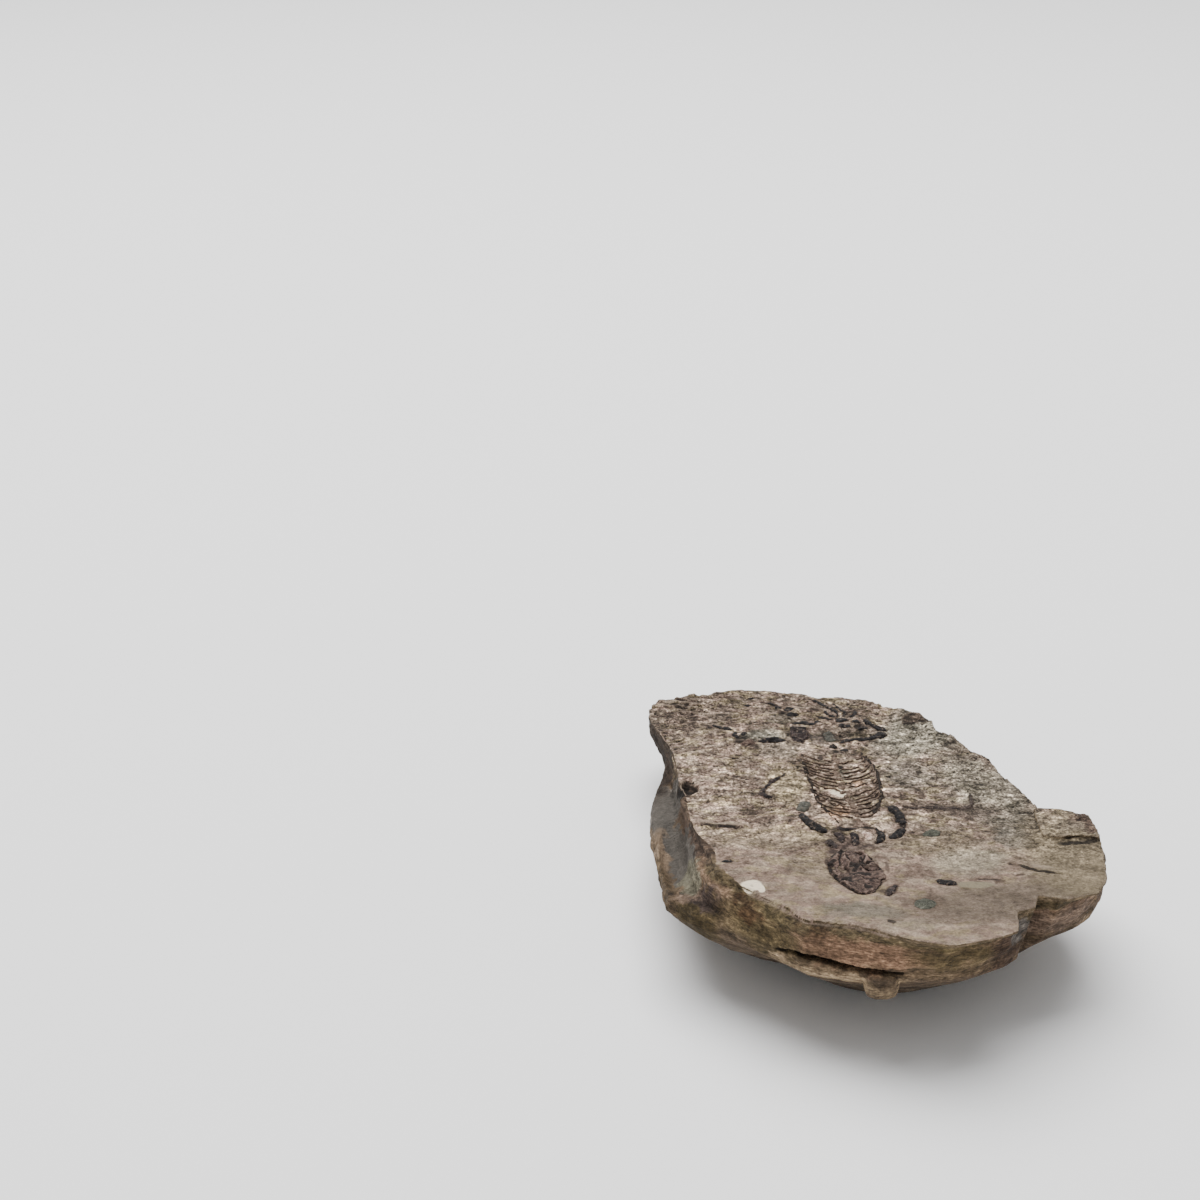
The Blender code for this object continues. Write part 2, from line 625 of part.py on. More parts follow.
def build_small_lumps(collection):
    """Vertebrae of the loin and tail, knee, ankle bones and the nodules, as uneven lumps."""
    lumps = [
        ("loin_vertebra_1", (-3.0, 44.6), (3.0, 2.4), 20),
        ("loin_vertebra_2", (-6.4, 47.6), (2.4, 3.0), 0),
        ("left_knee_bone", (-35.6, 48.6), (5.4, 3.0), 35),
        ("tail_vertebra_1", (-18.0, 74.6), (4.2, 2.0), 0),
        ("tail_vertebra_2", (-19.2, 79.2), (4.0, 3.2), 15),
        ("tail_vertebra_3", (-22.8, 81.6), (2.2, 3.2), 0),
        ("tail_vertebra_4", (-25.4, 86.2), (4.4, 1.6), -35),
        ("tail_vertebra_5", (-33.4, 84.0), (2.6, 2.2), 0),
        ("tail_vertebra_6", (-31.4, 92.0), (2.8, 2.0), 20),
        ("ankle_bone_1", (-1.4, 69.4), (4.4, 3.6), 10),
        ("ankle_bone_2", (3.4, 67.6), (3.8, 3.2), -15),
        ("ankle_bone_3", (-0.6, 63.4), (4.6, 1.9), -8),
        ("ankle_bone_4", (5.0, 62.2), (4.0, 2.2), 20),
        ("nodule_1", (9.2, -70.2), (6.6, 6.4), 0),
        ("nodule_2", (17.4, -24.0), (6.0, 5.0), 10),
        ("nodule_3", (17.2, -56.8), (6.4, 3.0), -20),
        ("nodule_4", (-47.6, -43.2), (3.4, 2.0), -15),
    ]
    built = []
    for number, (name, place, size, turn) in enumerate(lumps):
        built.append(make_lump(name, place, size, turn, collection, seed=number * 3.7))
    return built


FINISH_OF = {
    "skull": PURPLE_BONE,
    "neck_bones": PURPLE_BONE,
    "collar_bone": PURPLE_BONE,
    "left_shoulder_bone": PURPLE_BONE,
    "left_hip_bone": PURPLE_BONE,
    "rib_cage": PURPLE_BONE,
    "left_knee_bone": PURPLE_BONE,
    "breast_bone": GREY_BONE,
    "left_forearm": GREY_BONE,
    "right_hip_bone": GREY_BONE,
    "pale_shoulder_bone": PALE_BONE,
    "nodule_1": GREEN_STONE,
    "nodule_2": GREY_BONE,
    "nodule_3": GREEN_STONE,
}


def cut(target, cutter, operation="DIFFERENCE"):
    """Add a Boolean with the cutter to the target."""
    step = target.modifiers.new(cutter.name, "BOOLEAN")
    step.operation = operation
    step.object = cutter
    hide_cutter(cutter)


def make_bed(bone, collection):
    """Return a slightly larger copy of a bone, to cut its bed with."""
    bed = bpy.data.objects.new(bone.name + "_bed", bone.data.copy())
    collection.objects.link(bed)
    swell = bed.modifiers.new("clearance", "DISPLACE")
    swell.strength = BED_OFFSET * MM
    swell.mid_level = 0.0
    swell.direction = "NORMAL"
    return bed


def main():
    """Build the stone, the bones and their beds."""
    clear_scene()
    parts, cutters = make_collections()
    slab = build_stone_block(parts)
    cut(slab, build_lump(cutters), "UNION")
    cut(slab, build_face_cutter(cutters))
    cut(slab, build_flake(cutters), "UNION")
    cut(slab, build_hollow_cutter(cutters))
    cut(slab, build_crack_cutter(cutters))
    for facet in build_facet_cutters(cutters):
        cut(slab, facet)
    cut(slab, build_basket_bed(cutters))
    basket = build_rib_cage(parts)
    bones = build_limb_bones(parts) + build_shoulder_bones(parts) + build_broad_bones(parts)
    bones += build_toes(parts) + build_small_lumps(parts)
    for bone in bones:
        cut(slab, make_bed(bone, cutters))
    slab.data.materials.append(finish_material("matrix_slab", STONE))
    for bone in bones + [basket]:
        bone.data.materials.clear()
        bone.data.materials.append(finish_material(bone.name, FINISH_OF.get(bone.name, BLACK_BONE)))
        bone.data.shade_smooth()
        bone.data.set_sharp_from_angle(angle=math.radians(40.0))
    for item in list(parts.objects) + list(cutters.objects):
        item.location = (CENTRE_SHIFT[0] * MM, CENTRE_SHIFT[1] * MM, 0.0)


main()
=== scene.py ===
"""The looks of a small fossil reptile lying in one half of a split stone.

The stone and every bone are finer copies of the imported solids. They get the
relief of split and weathered siltstone, and finishes that follow it. Lengths
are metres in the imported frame. Places on the face are millimetres from the
drawing's datum, which Plan turns into the frame.
"""
from __future__ import annotations

import itertools
import json
import logging
import math
from dataclasses import dataclass, field, replace
from enum import Enum
from typing import NamedTuple

import bpy
import numpy as np
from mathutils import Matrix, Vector
from mathutils.kdtree import KDTree


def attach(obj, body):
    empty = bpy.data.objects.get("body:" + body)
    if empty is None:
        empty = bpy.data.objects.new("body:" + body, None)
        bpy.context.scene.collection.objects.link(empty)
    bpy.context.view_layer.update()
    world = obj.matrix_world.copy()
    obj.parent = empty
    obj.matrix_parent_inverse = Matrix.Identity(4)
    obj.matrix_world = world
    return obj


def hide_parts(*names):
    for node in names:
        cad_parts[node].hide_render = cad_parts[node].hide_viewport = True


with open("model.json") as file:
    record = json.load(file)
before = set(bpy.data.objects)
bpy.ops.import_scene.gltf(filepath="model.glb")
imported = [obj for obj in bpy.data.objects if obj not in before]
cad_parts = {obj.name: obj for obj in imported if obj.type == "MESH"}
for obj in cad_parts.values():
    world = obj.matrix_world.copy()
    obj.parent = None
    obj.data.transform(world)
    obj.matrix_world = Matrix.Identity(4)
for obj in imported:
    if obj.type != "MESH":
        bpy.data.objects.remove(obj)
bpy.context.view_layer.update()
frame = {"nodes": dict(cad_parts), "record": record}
LOG = logging.getLogger("fossil")
MM = 0.001

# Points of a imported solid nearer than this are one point, in millimetres
MERGE = 0.01
BODY = "root"
Colour = tuple[float, float, float]
Triple = tuple[float, float, float]
Span = tuple[float, float]
Line = tuple[tuple[float, float], ...]
Socket = bpy.types.NodeSocket


class Slot(Enum):
    """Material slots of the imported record."""

    STONE = "stone"
    BLACK = "black_bone"
    PURPLE = "purple_bone"
    GREY = "grey_bone"
    PALE = "pale_bone"
    GREEN = "green_stone"


class Ramp(NamedTuple):
    """A smooth ramp from 0 at low to top at high, which may be below low.

    Args:
        low: value where it starts.
        high: value where it ends.
        top: its height there.
    """

    low: float
    high: float
    top: float = 1.0

    def at(self, value: np.ndarray) -> np.ndarray:
        """Read the ramp at these values."""
        share = np.clip((value - self.low) / (self.high - self.low), 0.0, 1.0)
        return self.top * (share * share * (3.0 - 2.0 * share))


class Noise(NamedTuple):
    """A noise pattern of a material.

    Args:
        scale: bumps in a millimetre.
        stretch: how much faster it changes along each axis.
        detail: how many finer layers it has.
        rough: how strong they are.
    """

    scale: float
    stretch: Triple = (1.0, 1.0, 1.0)
    detail: float = 4.0
    rough: float = 0.6


class Skin(NamedTuple):
    """How a surface takes the light.

    Args:
        roughness: how matt it is.
        specular: how much it shines.
        bump: strength of its finest bumps.
        bump_height: their height, in metres.
    """

    roughness: float
    specular: float
    bump: float
    bump_height: float


@dataclass(frozen=True)
class Plan:
    """The split face as drawn: its datum, slope, swells and raised rim.

    Args:
        datum: the drawing's datum in the frame, in millimetres.
        level: height of the face at the datum.
        slope: fall of the face towards the tail, in degrees.
        broad: height and the two lengths of the broad swell.
        phase: where the broad swell starts across the face.
        fine: height and the two lengths of the fine swell.
        rim_foot: two points on the foot of the rim.
        rim_rise: how the rim rises beyond its foot.
        rim_start: where along the face the rim starts and is full.
    """

    datum: Span = (-0.1, -1.65)
    level: float = 36.0
    slope: float = 6.0
    broad: Triple = (0.5, 17.0, 21.0)
    phase: float = 1.0
    fine: Triple = (0.25, 6.0, 9.0)
    rim_foot: Line = ((13.0, 81.0), (29.0, 55.0))
    rim_rise: Ramp = Ramp(0.0, 4.0, 1.8)
    rim_start: Ramp = Ramp(50.0, 58.0)

    def drawn(self, points: np.ndarray) -> np.ndarray:
        """Turn frame points in metres into drawing millimetres."""
        return points / MM - np.array([*self.datum, 0.0])

    def framed(self, points: np.ndarray) -> np.ndarray:
        """Turn drawing millimetres into frame points in metres."""
        return (points + np.array([*self.datum, 0.0])) * MM

    def height(self, x: np.ndarray, y: np.ndarray) -> np.ndarray:
        """Work out the height of the split face over plan points.

        Args:
            x: plan places across the animal.
            y: plan places along it, tail positive.

        Returns:
            Heights in millimetres.
        """
        height = self.level - math.tan(math.radians(self.slope)) * y
        rise, across, along = self.broad
        height = height + rise * np.sin(x / across + self.phase) * np.cos(y / along)
        rise, across, along = self.fine
        height = height + rise * np.sin(x / across + y / along)
        (ax, ay), (bx, by) = self.rim_foot
        run, climb = bx - ax, by - ay
        beyond = ((x - ax) * -climb + (y - ay) * run) / math.hypot(run, climb)
        return height + self.rim_rise.at(beyond) * self.rim_start.at(y)


PLAN = Plan()


@dataclass(frozen=True)
class Grain:
    """Repeatable smooth noise over points, for shapes.

    Args:
        seed: picks one pattern out of many.
        size: length of a bump along x, y and z, in millimetres.
        height: about how far it goes up and down.
        octaves: how many times the bumps are halved, plus one.
    """

    seed: int
    size: Triple
    height: float = 1.0
    octaves: int = 3

    # Odd factors that scramble a cell's place into a chance value
    CELL_KEYS = np.array([374761393, 668265263, 1440662683])
    SEED_KEY = 97
    MIX_KEY = 1274126177
    WORD = 0xFFFFFFFF
    HALF_WORD = 0xFFFF
    OCTAVE_SHIFT = 17.31

    def lattice(self, points: np.ndarray) -> np.ndarray:
        """Noise with one bump in each unit cell.

        Args:
            points: rows of three numbers.

        Returns:
            One value a row.
        """
        cell = np.floor(points).astype(np.int64)
        part = points - cell
        fade = part ** 3 * (part * (6.0 * part - 15.0) + 10.0)
        total = np.zeros(len(points))
        for corner in itertools.product((0, 1), repeat=3):
            key = (cell + corner) * self.CELL_KEYS + self.seed * self.SEED_KEY
            mixed = key.sum(1) & self.WORD
            mixed = ((mixed ^ (mixed >> 13)) * self.MIX_KEY) & self.WORD
            value = ((mixed ^ (mixed >> 16)) & self.HALF_WORD) / (self.HALF_WORD / 2.0) - 1.0
            total += value * np.where(corner, fade, 1.0 - fade).prod(1)
        return total

    def at(self, points: np.ndarray) -> np.ndarray:
        """Noise with bumps of the grain's size, and finer ones on them.

        Args:
            points: rows of three numbers, in millimetres.

        Returns:
            One value a row.
        """
        total, weight, whole = np.zeros(len(points)), 1.0, 0.0
        for octave in range(self.octaves):
            placed = points / (np.array(self.size) / 2 ** octave) + self.OCTAVE_SHIFT * octave
            total += weight * self.lattice(placed)
            whole += weight
            weight *= 0.5
        return self.height * (total / whole)


class NodeBench:
    """Adds and joins the nodes of one shader tree."""

    # The Mix node's share and its two colours, and the mixed colour
    MIX_INPUTS = ("Factor", 6, 7)
    MIX_OUTPUT = 2

    def __init__(self, tree: bpy.types.NodeTree) -> None:
        """Start on an empty tree."""
        self.tree = tree
        tree.nodes.clear()

    def add(self, kind: str, settings: dict | None = None, feeds: dict | None = None) -> bpy.types.Node:
        """Add a node.

        Args:
            kind: the node's type without its ShaderNode prefix.
            settings: properties to set on it.
            feeds: what goes into its inputs, by name or number: a socket or a value.

        Returns:
            The new node.
        """
        node = self.tree.nodes.new("ShaderNode" + kind)
        for name, value in (settings or {}).items():
            setattr(node, name, value)
        for name, value in (feeds or {}).items():
            self.feed(node.inputs[name], value)
        return node

    def feed(self, socket: Socket, value: object) -> None:
        """Link a socket to an input, or set the input's own value.

        Args:
            socket: the input.
            value: a socket, a number, or three numbers.
        """
        if isinstance(value, bpy.types.NodeSocket):
            self.tree.links.new(value, socket)
        elif isinstance(value, tuple) and socket.type == "RGBA" and len(value) == 3:
            socket.default_value = (*value, 1.0)
        else:
            socket.default_value = value

    def math(self, operation: str, first: object, second: object = 0.0) -> Socket:
        """One Math node; returns its output."""
        return self.add("Math", {"operation": operation}, {0: first, 1: second}).outputs[0]

    def vector(self, operation: str, first: object, second: object = (0.0, 0.0, 0.0)) -> Socket:
        """One Vector Math node; returns its vector."""
        return self.add("VectorMath", {"operation": operation}, {0: first, 1: second}).outputs[0]

    def mix(self, share: object, first: object, second: object) -> Socket:
        """Mix two colours.

        Args:
            share: how much of the second one shows.
            first: one colour.
            second: the other colour.

        Returns:
            The mixed colour.
        """
        node = self.add("Mix", {"data_type": "RGBA"})
        for socket, value in zip(self.MIX_INPUTS, (share, first, second)):
            self.feed(node.inputs[socket], value)
        return node.outputs[self.MIX_OUTPUT]

    def ramp(self, value: Socket, ramp: Ramp) -> Socket:
        """Run a value through a ramp.

        Args:
            value: what goes in.
            ramp: the ramp.

        Returns:
            What comes out.
        """
        low, high, top = ramp
        ends = {"From Min": low, "From Max": high, "To Min": 0.0, "To Max": top}
        if low > high:
            ends = {"From Min": high, "From Max": low, "To Min": top, "To Max": 0.0}
        node = self.add("MapRange", {"interpolation_type": "SMOOTHSTEP"}, {"Value": value, **ends})
        return node.outputs["Result"]

    def noise(self, where: Socket, noise: Noise) -> Socket:
        """Read a noise pattern at a place.

        Args:
            where: the place.
            noise: the pattern.

        Returns:
            Its value; the node also has a coloured one.
        """
        placed = self.vector("MULTIPLY", where, noise.stretch)
        feeds = {"Vector": placed, "Scale": noise.scale, "Detail": noise.detail, "Roughness": noise.rough}
        return self.add("TexNoise", None, feeds).outputs["Fac"]

    def scaled(self, value: object, factor: object) -> Socket:
        """Multiply a vector or colour by a number.

        Args:
            value: the vector or colour.
            factor: the number.

        Returns:
            The product.
        """
        product = self.vector("SCALE", value)
        self.feed(product.node.inputs["Scale"], factor)
        return product

    def contrast(self, colour: object, tone: Socket, reach: object) -> Socket:
        """Darken and lighten a colour by a tone about zero; returns the colour."""
        return self.scaled(colour, self.math("POWER", math.e, self.math("MULTIPLY", tone, reach)))

    def attribute(self, name: str) -> Socket:
        """One of the piece's own values; returns its number."""
        return self.add("Attribute", {"attribute_name": name}).outputs["Fac"]


def new_group(name: str, inputs: dict, outputs: dict) -> tuple[NodeBench, dict, bpy.types.Node]:
    """Start a shader node group.

    Args:
        name: the group's name.
        inputs: socket type and default value of each input, by name.
        outputs: socket type of each output, by name.

    Returns:
        The group's bench, its input sockets by name, and its output node.
    """
    tree = bpy.data.node_groups.new(name, "ShaderNodeTree")
    for label, (kind, value) in inputs.items():
        socket = tree.interface.new_socket(label, in_out="INPUT", socket_type="NodeSocket" + kind)
        socket.default_value = value
    for label, kind in outputs.items():
        tree.interface.new_socket(label, in_out="OUTPUT", socket_type="NodeSocket" + kind)
    bench = NodeBench(tree)
    entry = tree.nodes.new("NodeGroupInput")
    return bench, {label: entry.outputs[label] for label in inputs}, tree.nodes.new("NodeGroupOutput")


def start_material(name: str) -> tuple[bpy.types.Material, NodeBench]:
    """Start a material on an empty tree.

    Args:
        name: its name.

    Returns:
        The material and its bench.
    """
    made = bpy.data.materials.new(name)
    made.use_nodes = True
    return made, NodeBench(made.node_tree)


def close_material(bench: NodeBench, colour: Socket, height: Socket, skin: Skin) -> None:
    """Lead a colour and the height of fine bumps to the surface.

    Args:
        bench: the material's bench.
        colour: its colour.
        height: height of its finest bumps.
        skin: how it takes the light.
    """
    bump = bench.add("Bump", None, {"Strength": skin.bump, "Distance": skin.bump_height, "Height": height})
    shader = bench.add("BsdfPrincipled", None, {
        "Base Color": colour, "Roughness": skin.roughness, "Normal": bump.outputs["Normal"],
        "Specular IOR Level": skin.specular})
    bench.feed(bench.add("OutputMaterial").inputs["Surface"], shader.outputs["BSDF"])


class Effects:
    """Node groups that several materials share, each built once."""

    # What pushes a ragged edge about, and how far in millimetres
    WARP = Noise(0.16, detail=5.0, rough=0.62)
    WARP_REACH = 12.0

    # Patterns of the grit with their strengths, its dark specks, and the height of both
    TONES = ((Noise(0.13), 5.2), (Noise(0.50), 6.2), (Noise(1.6), 6.2))
    SPECKS = Noise(0.75, detail=3.0)
    SPECK_EDGE = Ramp(0.585, 0.645)
    TONE_HEIGHT = 0.35
    SPECK_DEPTH = 0.4

    def __init__(self) -> None:
        """Build every group."""
        self.place = self.build_place()
        self.patch = self.build_patch()
        self.grit = self.build_grit()

    def build_place(self) -> bpy.types.NodeTree:
        """Place in drawing millimetres, and the same with ragged distortion.

        Returns:
            The node group.
        """
        bench, feeds, end = new_group(
            "drawing_place", {"Raggedness": ("Float", 1.0)}, {"Place": "Vector", "Ragged": "Vector"})
        framed = bench.scaled(bench.add("TexCoord").outputs["Object"], 1.0 / MM)
        place = bench.vector("SUBTRACT", framed, (*PLAN.datum, 0.0))
        warp = bench.noise(place, self.WARP).node.outputs["Color"]
        centred = bench.vector("SUBTRACT", warp, (0.5, 0.5, 0.5))
        pushed = bench.scaled(centred, bench.math("MULTIPLY", feeds["Raggedness"], self.WARP_REACH))
        bench.feed(end.inputs["Place"], place)
        bench.feed(end.inputs["Ragged"], bench.vector("ADD", place, pushed))
        return bench.tree

    def build_patch(self) -> bpy.types.NodeTree:
        """Mask of an oval with a soft edge.

        Returns:
            The node group.
        """
        bench, feeds, end = new_group(
            "oval_patch",
            {"Place": ("Vector", (0.0, 0.0, 0.0)), "Centre": ("Vector", (0.0, 0.0, 0.0)),
             "Reach": ("Vector", (1.0, 1.0, 1.0)), "Turn": ("Float", 0.0), "Softness": ("Float", 0.3),
             "Strength": ("Float", 1.0)},
            {"Mask": "Float"})
        offset = bench.vector("SUBTRACT", feeds["Place"], feeds["Centre"])
        turned = bench.add("VectorRotate", {"rotation_type": "Z_AXIS"}, {"Vector": offset})
        bench.feed(turned.inputs["Angle"], bench.math("MULTIPLY", feeds["Turn"], -1.0))
        share = bench.vector("DIVIDE", turned.outputs[0], feeds["Reach"])
        length = bench.add("VectorMath", {"operation": "LENGTH"}, {0: share}).outputs["Value"]
        inner = bench.math("SUBTRACT", 1.0, feeds["Softness"])
        outer = bench.math("ADD", 1.0, feeds["Softness"])
        fall = bench.add("MapRange", {"interpolation_type": "SMOOTHSTEP"}, {
            "Value": length, "From Min": inner, "From Max": outer,
            "To Min": feeds["Strength"], "To Max": 0.0})
        bench.feed(end.inputs["Mask"], fall.outputs["Result"])
        return bench.tree

    def build_grit(self) -> bpy.types.NodeTree:
        """Fine grain: a tone about zero, dark specks and the height that goes with them.

        Returns:
            The node group.
        """
        bench, feeds, end = new_group(
            "grit",
            {"Place": ("Vector", (0.0, 0.0, 0.0)), "Size": ("Float", 1.0)},
            {"Tone": "Float", "Specks": "Float", "Height": "Float"})
        placed = bench.scaled(feeds["Place"], bench.math("DIVIDE", 1.0, feeds["Size"]))
        tone = 0.0
        for noise, strength in self.TONES:
            centred = bench.math("SUBTRACT", bench.noise(placed, noise), 0.5)
            tone = bench.math("ADD", tone, bench.math("MULTIPLY", centred, strength))
        speck = bench.ramp(bench.noise(placed, self.SPECKS), self.SPECK_EDGE)
        height = bench.math("SUBTRACT", bench.math("MULTIPLY", tone, self.TONE_HEIGHT),
                            bench.math("MULTIPLY", speck, self.SPECK_DEPTH))
        bench.feed(end.inputs["Tone"], tone)
        bench.feed(end.inputs["Specks"], speck)
        bench.feed(end.inputs["Height"], height)
        return bench.tree


@dataclass(frozen=True)
class Patch:
    """One oval of other colour, in drawing millimetres.

    Args:
        centre: its middle; on the face only x and y are given.
        reach: its half lengths.
        colour: its colour.
        strength: how much it covers.
        turn: how far it is turned in plan, in degrees.
        softness: how soft its edge is, as a share of its reach.
    """

    centre: tuple[float, ...]
    reach: tuple[float, ...]
    colour: Colour
    strength: float = 0.6
    turn: float = 0.0
    softness: float = 0.35

    # Half height of a patch on the face, which takes in the whole stone
    ANY_HEIGHT = 1000.0

    def mask(self, bench: NodeBench, group: bpy.types.NodeTree, place: Socket) -> Socket:
        """Add the patch's node.

        Args:
            bench: the material's bench.
            group: the group that makes the mask.
            place: place, in drawing millimetres.

        Returns:
            The mask.
        """
        node = bench.add("Group", {"node_tree": group}, {
            "Place": place, "Centre": (*self.centre, 0.0)[:3], "Reach": (*self.reach, self.ANY_HEIGHT)[:3],
            "Turn": math.radians(self.turn), "Softness": self.softness, "Strength": self.strength})
        return node.outputs["Mask"]


GREY_GREEN = (0.158, 0.139, 0.106)
PALE_GREEN = (0.340, 0.290, 0.212)
STONE_GREY = (0.125, 0.112, 0.090)
BROWN_GREY = (0.118, 0.087, 0.070)
DRAB = (0.122, 0.094, 0.071)
TAN = (0.176, 0.140, 0.092)
UMBER = (0.070, 0.047, 0.036)
SOOT = (0.012, 0.010, 0.009)
CHALK = (0.95, 0.82, 0.62)
ORANGE = (0.24, 0.135, 0.075)
PINK = (0.235, 0.140, 0.088)
OLIVE = (0.100, 0.074, 0.036)
RUST = (0.066, 0.038, 0.020)
PALE = (0.42, 0.33, 0.25)
STAIN = (0.048, 0.034, 0.029)
HOLLOW_GREY = (0.098, 0.088, 0.077)

FACE_PATCHES = (
    Patch((26, 62), (13, 27), (0.330, 0.296, 0.226), 0.85, -30),
    Patch((40, 10), (13, 34), GREY_GREEN, 0.85, 8),
    Patch((15.8, 21.7), (8.6, 12.4), (0.162, 0.147, 0.118), 0.6, 0, 0.4),
    Patch((27, -6), (15, 7), BROWN_GREY, 0.7),
    Patch((27, -42), (12, 8), PALE_GREEN, 0.75, 10),
    Patch((42.2, -26.3), (6, 8), STONE_GREY, 0.7, 0, 0.2),
    Patch((-9, -75.5), (12, 5.5), (0.140, 0.124, 0.094), 0.8),
    Patch((4, -84), (10, 4), PALE_GREEN, 0.35),
    Patch((-27, 56), (9, 4.5), PALE_GREEN, 0.7),
    Patch((-22, 72), (6, 4), GREY_GREEN, 0.6),
    Patch((2, 60), (8, 5), GREY_GREEN, 0.35),
    Patch((-5, 21), (3.2, 5), GREY_GREEN, 0.7),
    Patch((38, -70), (36, 13), DRAB, 0.9, 8),
    Patch((60, -42), (17, 34), TAN, 0.95),
    Patch((-25, 14), (6.5, 13), (0.285, 0.228, 0.142), 0.75),
    Patch((-25.1, 44.7), (7.1, 7.9), (0.310, 0.250, 0.190), 0.8, 0, 0.35),
    Patch((-33, -26), (20, 8), TAN, 0.5),
    Patch((-20, -48), (8, 9), TAN, 0.5),
    Patch((18, -30), (14, 7), TAN, 0.6),
    Patch((-10.6, -7.7), (3.6, 5.8), ORANGE, 0.75, -25),
    Patch((-1.1, 15.2), (2.4, 1.8), ORANGE, 0.7),
    Patch((-9.6, -33.0), (7.4, 7.0), (0.050, 0.034, 0.029), 0.85),
    Patch((-30.2, 55.3), (6.5, 4.1), (0.20, 0.185, 0.145), 0.8, 0, 0.4),
    Patch((24.5, 70.8), (5.3, 4.7), UMBER, 0.9, -25, 0.3),
    Patch((43.7, 35.2), (2.7, 7.7), UMBER, 0.6, 0, 0.3),
    Patch((36.1, 54.4), (4.1, 3.6), UMBER, 0.5, -25, 0.3),
    Patch((14, -46), (4, 4), UMBER, 0.3),
    Patch((9.2, -70.2), (5.4, 5.2), UMBER, 0.4),
    Patch((-59, 16), (3.2, 6.5), UMBER, 0.7),
    Patch((-57.2, 70.8), (7.0, 13.1), (0.125, 0.090, 0.070), 0.6, 0, 0.4),
    Patch((52, -70.5), (13, 3.2), UMBER, 0.7, 9),
    # Painted shade on the flake's broken facet, which slopes away
    Patch((66, -17.5), (3.8, 8.5), UMBER, 0.9, 0, 0.2),
    Patch((61.2, -19.7), (5.3, 5.6), (0.098, 0.078, 0.057), 0.8, -8, 0.25),
)
FACE_MARKS = (
    # Painted shadow under the small step of the bedding, and painted highlight on its raised lip
    Patch((-49.3, -16.7), (7.6, 0.7), SOOT, 0.85, -3, 0.4),
    Patch((-49, -14.8), (7.2, 1.0), PALE, 0.5, -3, 0.4),
    # Painted shadow along the step near the right side, and painted highlight on its raised side
    Patch((43.0, -48.2), (3.4, 0.8), SOOT, 0.9, -35, 0.4),
    Patch((48.4, -50.9), (3.2, 0.7), SOOT, 0.9, -20, 0.4),
    Patch((47.5, -47.2), (3.6, 1.6), PALE, 0.4, -20, 0.4),
    Patch((39.9, -52.4), (1.7, 0.9), UMBER, 0.8, 0, 0.4),
    Patch((33.2, -56.4), (1.7, 1.1), UMBER, 0.8, 0, 0.4),
    Patch((25.5, -58.2), (5.6, 2.3), (0.235, 0.205, 0.140), 0.8, -4, 0.2),
    Patch((30.0, -54.8), (3.4, 0.8), SOOT, 0.75, -10, 0.4),
    Patch((51.8, -17.4), (2.8, 2.3), SOOT, 0.6, 0, 0.3),
    # Painted shadow under the edge of the flake
    Patch((62.5, -29.4), (7.6, 1.2), SOOT, 0.9, 9, 0.35),
    Patch((-56.7, 13.4), (3.0, 4.8), SOOT, 0.97, 0, 0.25),
    Patch((-40.9, -59.7), (3.1, 3.3), CHALK, 1.0, 0, 0.12),
    Patch((-38.4, -61.7), (1.3, 2.1), CHALK, 1.0, 0, 0.12),
    Patch((-8.6, 8.4), (2.6, 1.5), CHALK, 1.0, 10, 0.12),
    Patch((-7.6, 6.2), (1.5, 1.6), CHALK, 0.9, 0, 0.15),
    Patch((-2.0, -82.0), (1.3, 1.1), SOOT, 0.8, 0, 0.3),
    Patch((9.2, -17.5), (1.1, 2.1), SOOT, 0.95, 0, 0.4),
    Patch((-11.5, -20.5), (2.7, 1.9), SOOT, 0.8, 10, 0.4),
    Patch((-2.5, -18.6), (3.5, 0.9), SOOT, 0.85, 0, 0.4),
    Patch((-37.6, 51.7), (2.2, 4.0), SOOT, 0.95, -30, 0.4),
    Patch((-9.5, 55.3), (4.8, 5.0), (0.060, 0.055, 0.048), 0.6, 0, 0.4),
    Patch((-5.9, 42.9), (1.1, 1.7), SOOT, 0.9, 0, 0.4),
    Patch((-2.4, 43.8), (1.1, 2.1), SOOT, 0.9, 0, 0.4),
    Patch((-11.9, 36.9), (1.0, 1.5), SOOT, 0.85, 0, 0.4),
    Patch((-7.9, 33.5), (1.3, 1.4), SOOT, 0.85, 0, 0.4),
    Patch((-6.0, 28.4), (1.4, 2.4), SOOT, 0.9, 0, 0.4),
    Patch((5.2, 64.3), (3.5, 2.9), SOOT, 0.75, 0, 0.4),
    Patch((-56.1, 83.1), (3.2, 1.4), SOOT, 0.8, 4, 0.4),
    Patch((-61.7, 86.9), (2.9, 1.1), PALE, 0.7, 4, 0.4),
    Patch((-50.6, 79.3), (2.8, 1.0), SOOT, 0.7, 4, 0.4),
    Patch((0.5, 26.0), (1.6, 1.0), SOOT, 0.7, 30, 0.4),
    Patch((-2.3, -61.7), (1.5, 1.3), STAIN, 0.8, 25, 0.4),
    Patch((-14.6, -35.7), (1.5, 1.7), STAIN, 0.8, -20, 0.4),
    Patch((-16.8, -43.4), (0.7, 4.2), STAIN, 0.75, 0, 0.4),
    Patch((0.7, -46.9), (0.7, 3.5), STAIN, 0.7, 0, 0.4),
    Patch((-3.4, -32.1), (1.8, 1.6), STAIN, 0.7, 10, 0.4),
    Patch((-16.0, 10.3), (1.6, 1.3), STAIN, 0.5, 30, 0.4),
)
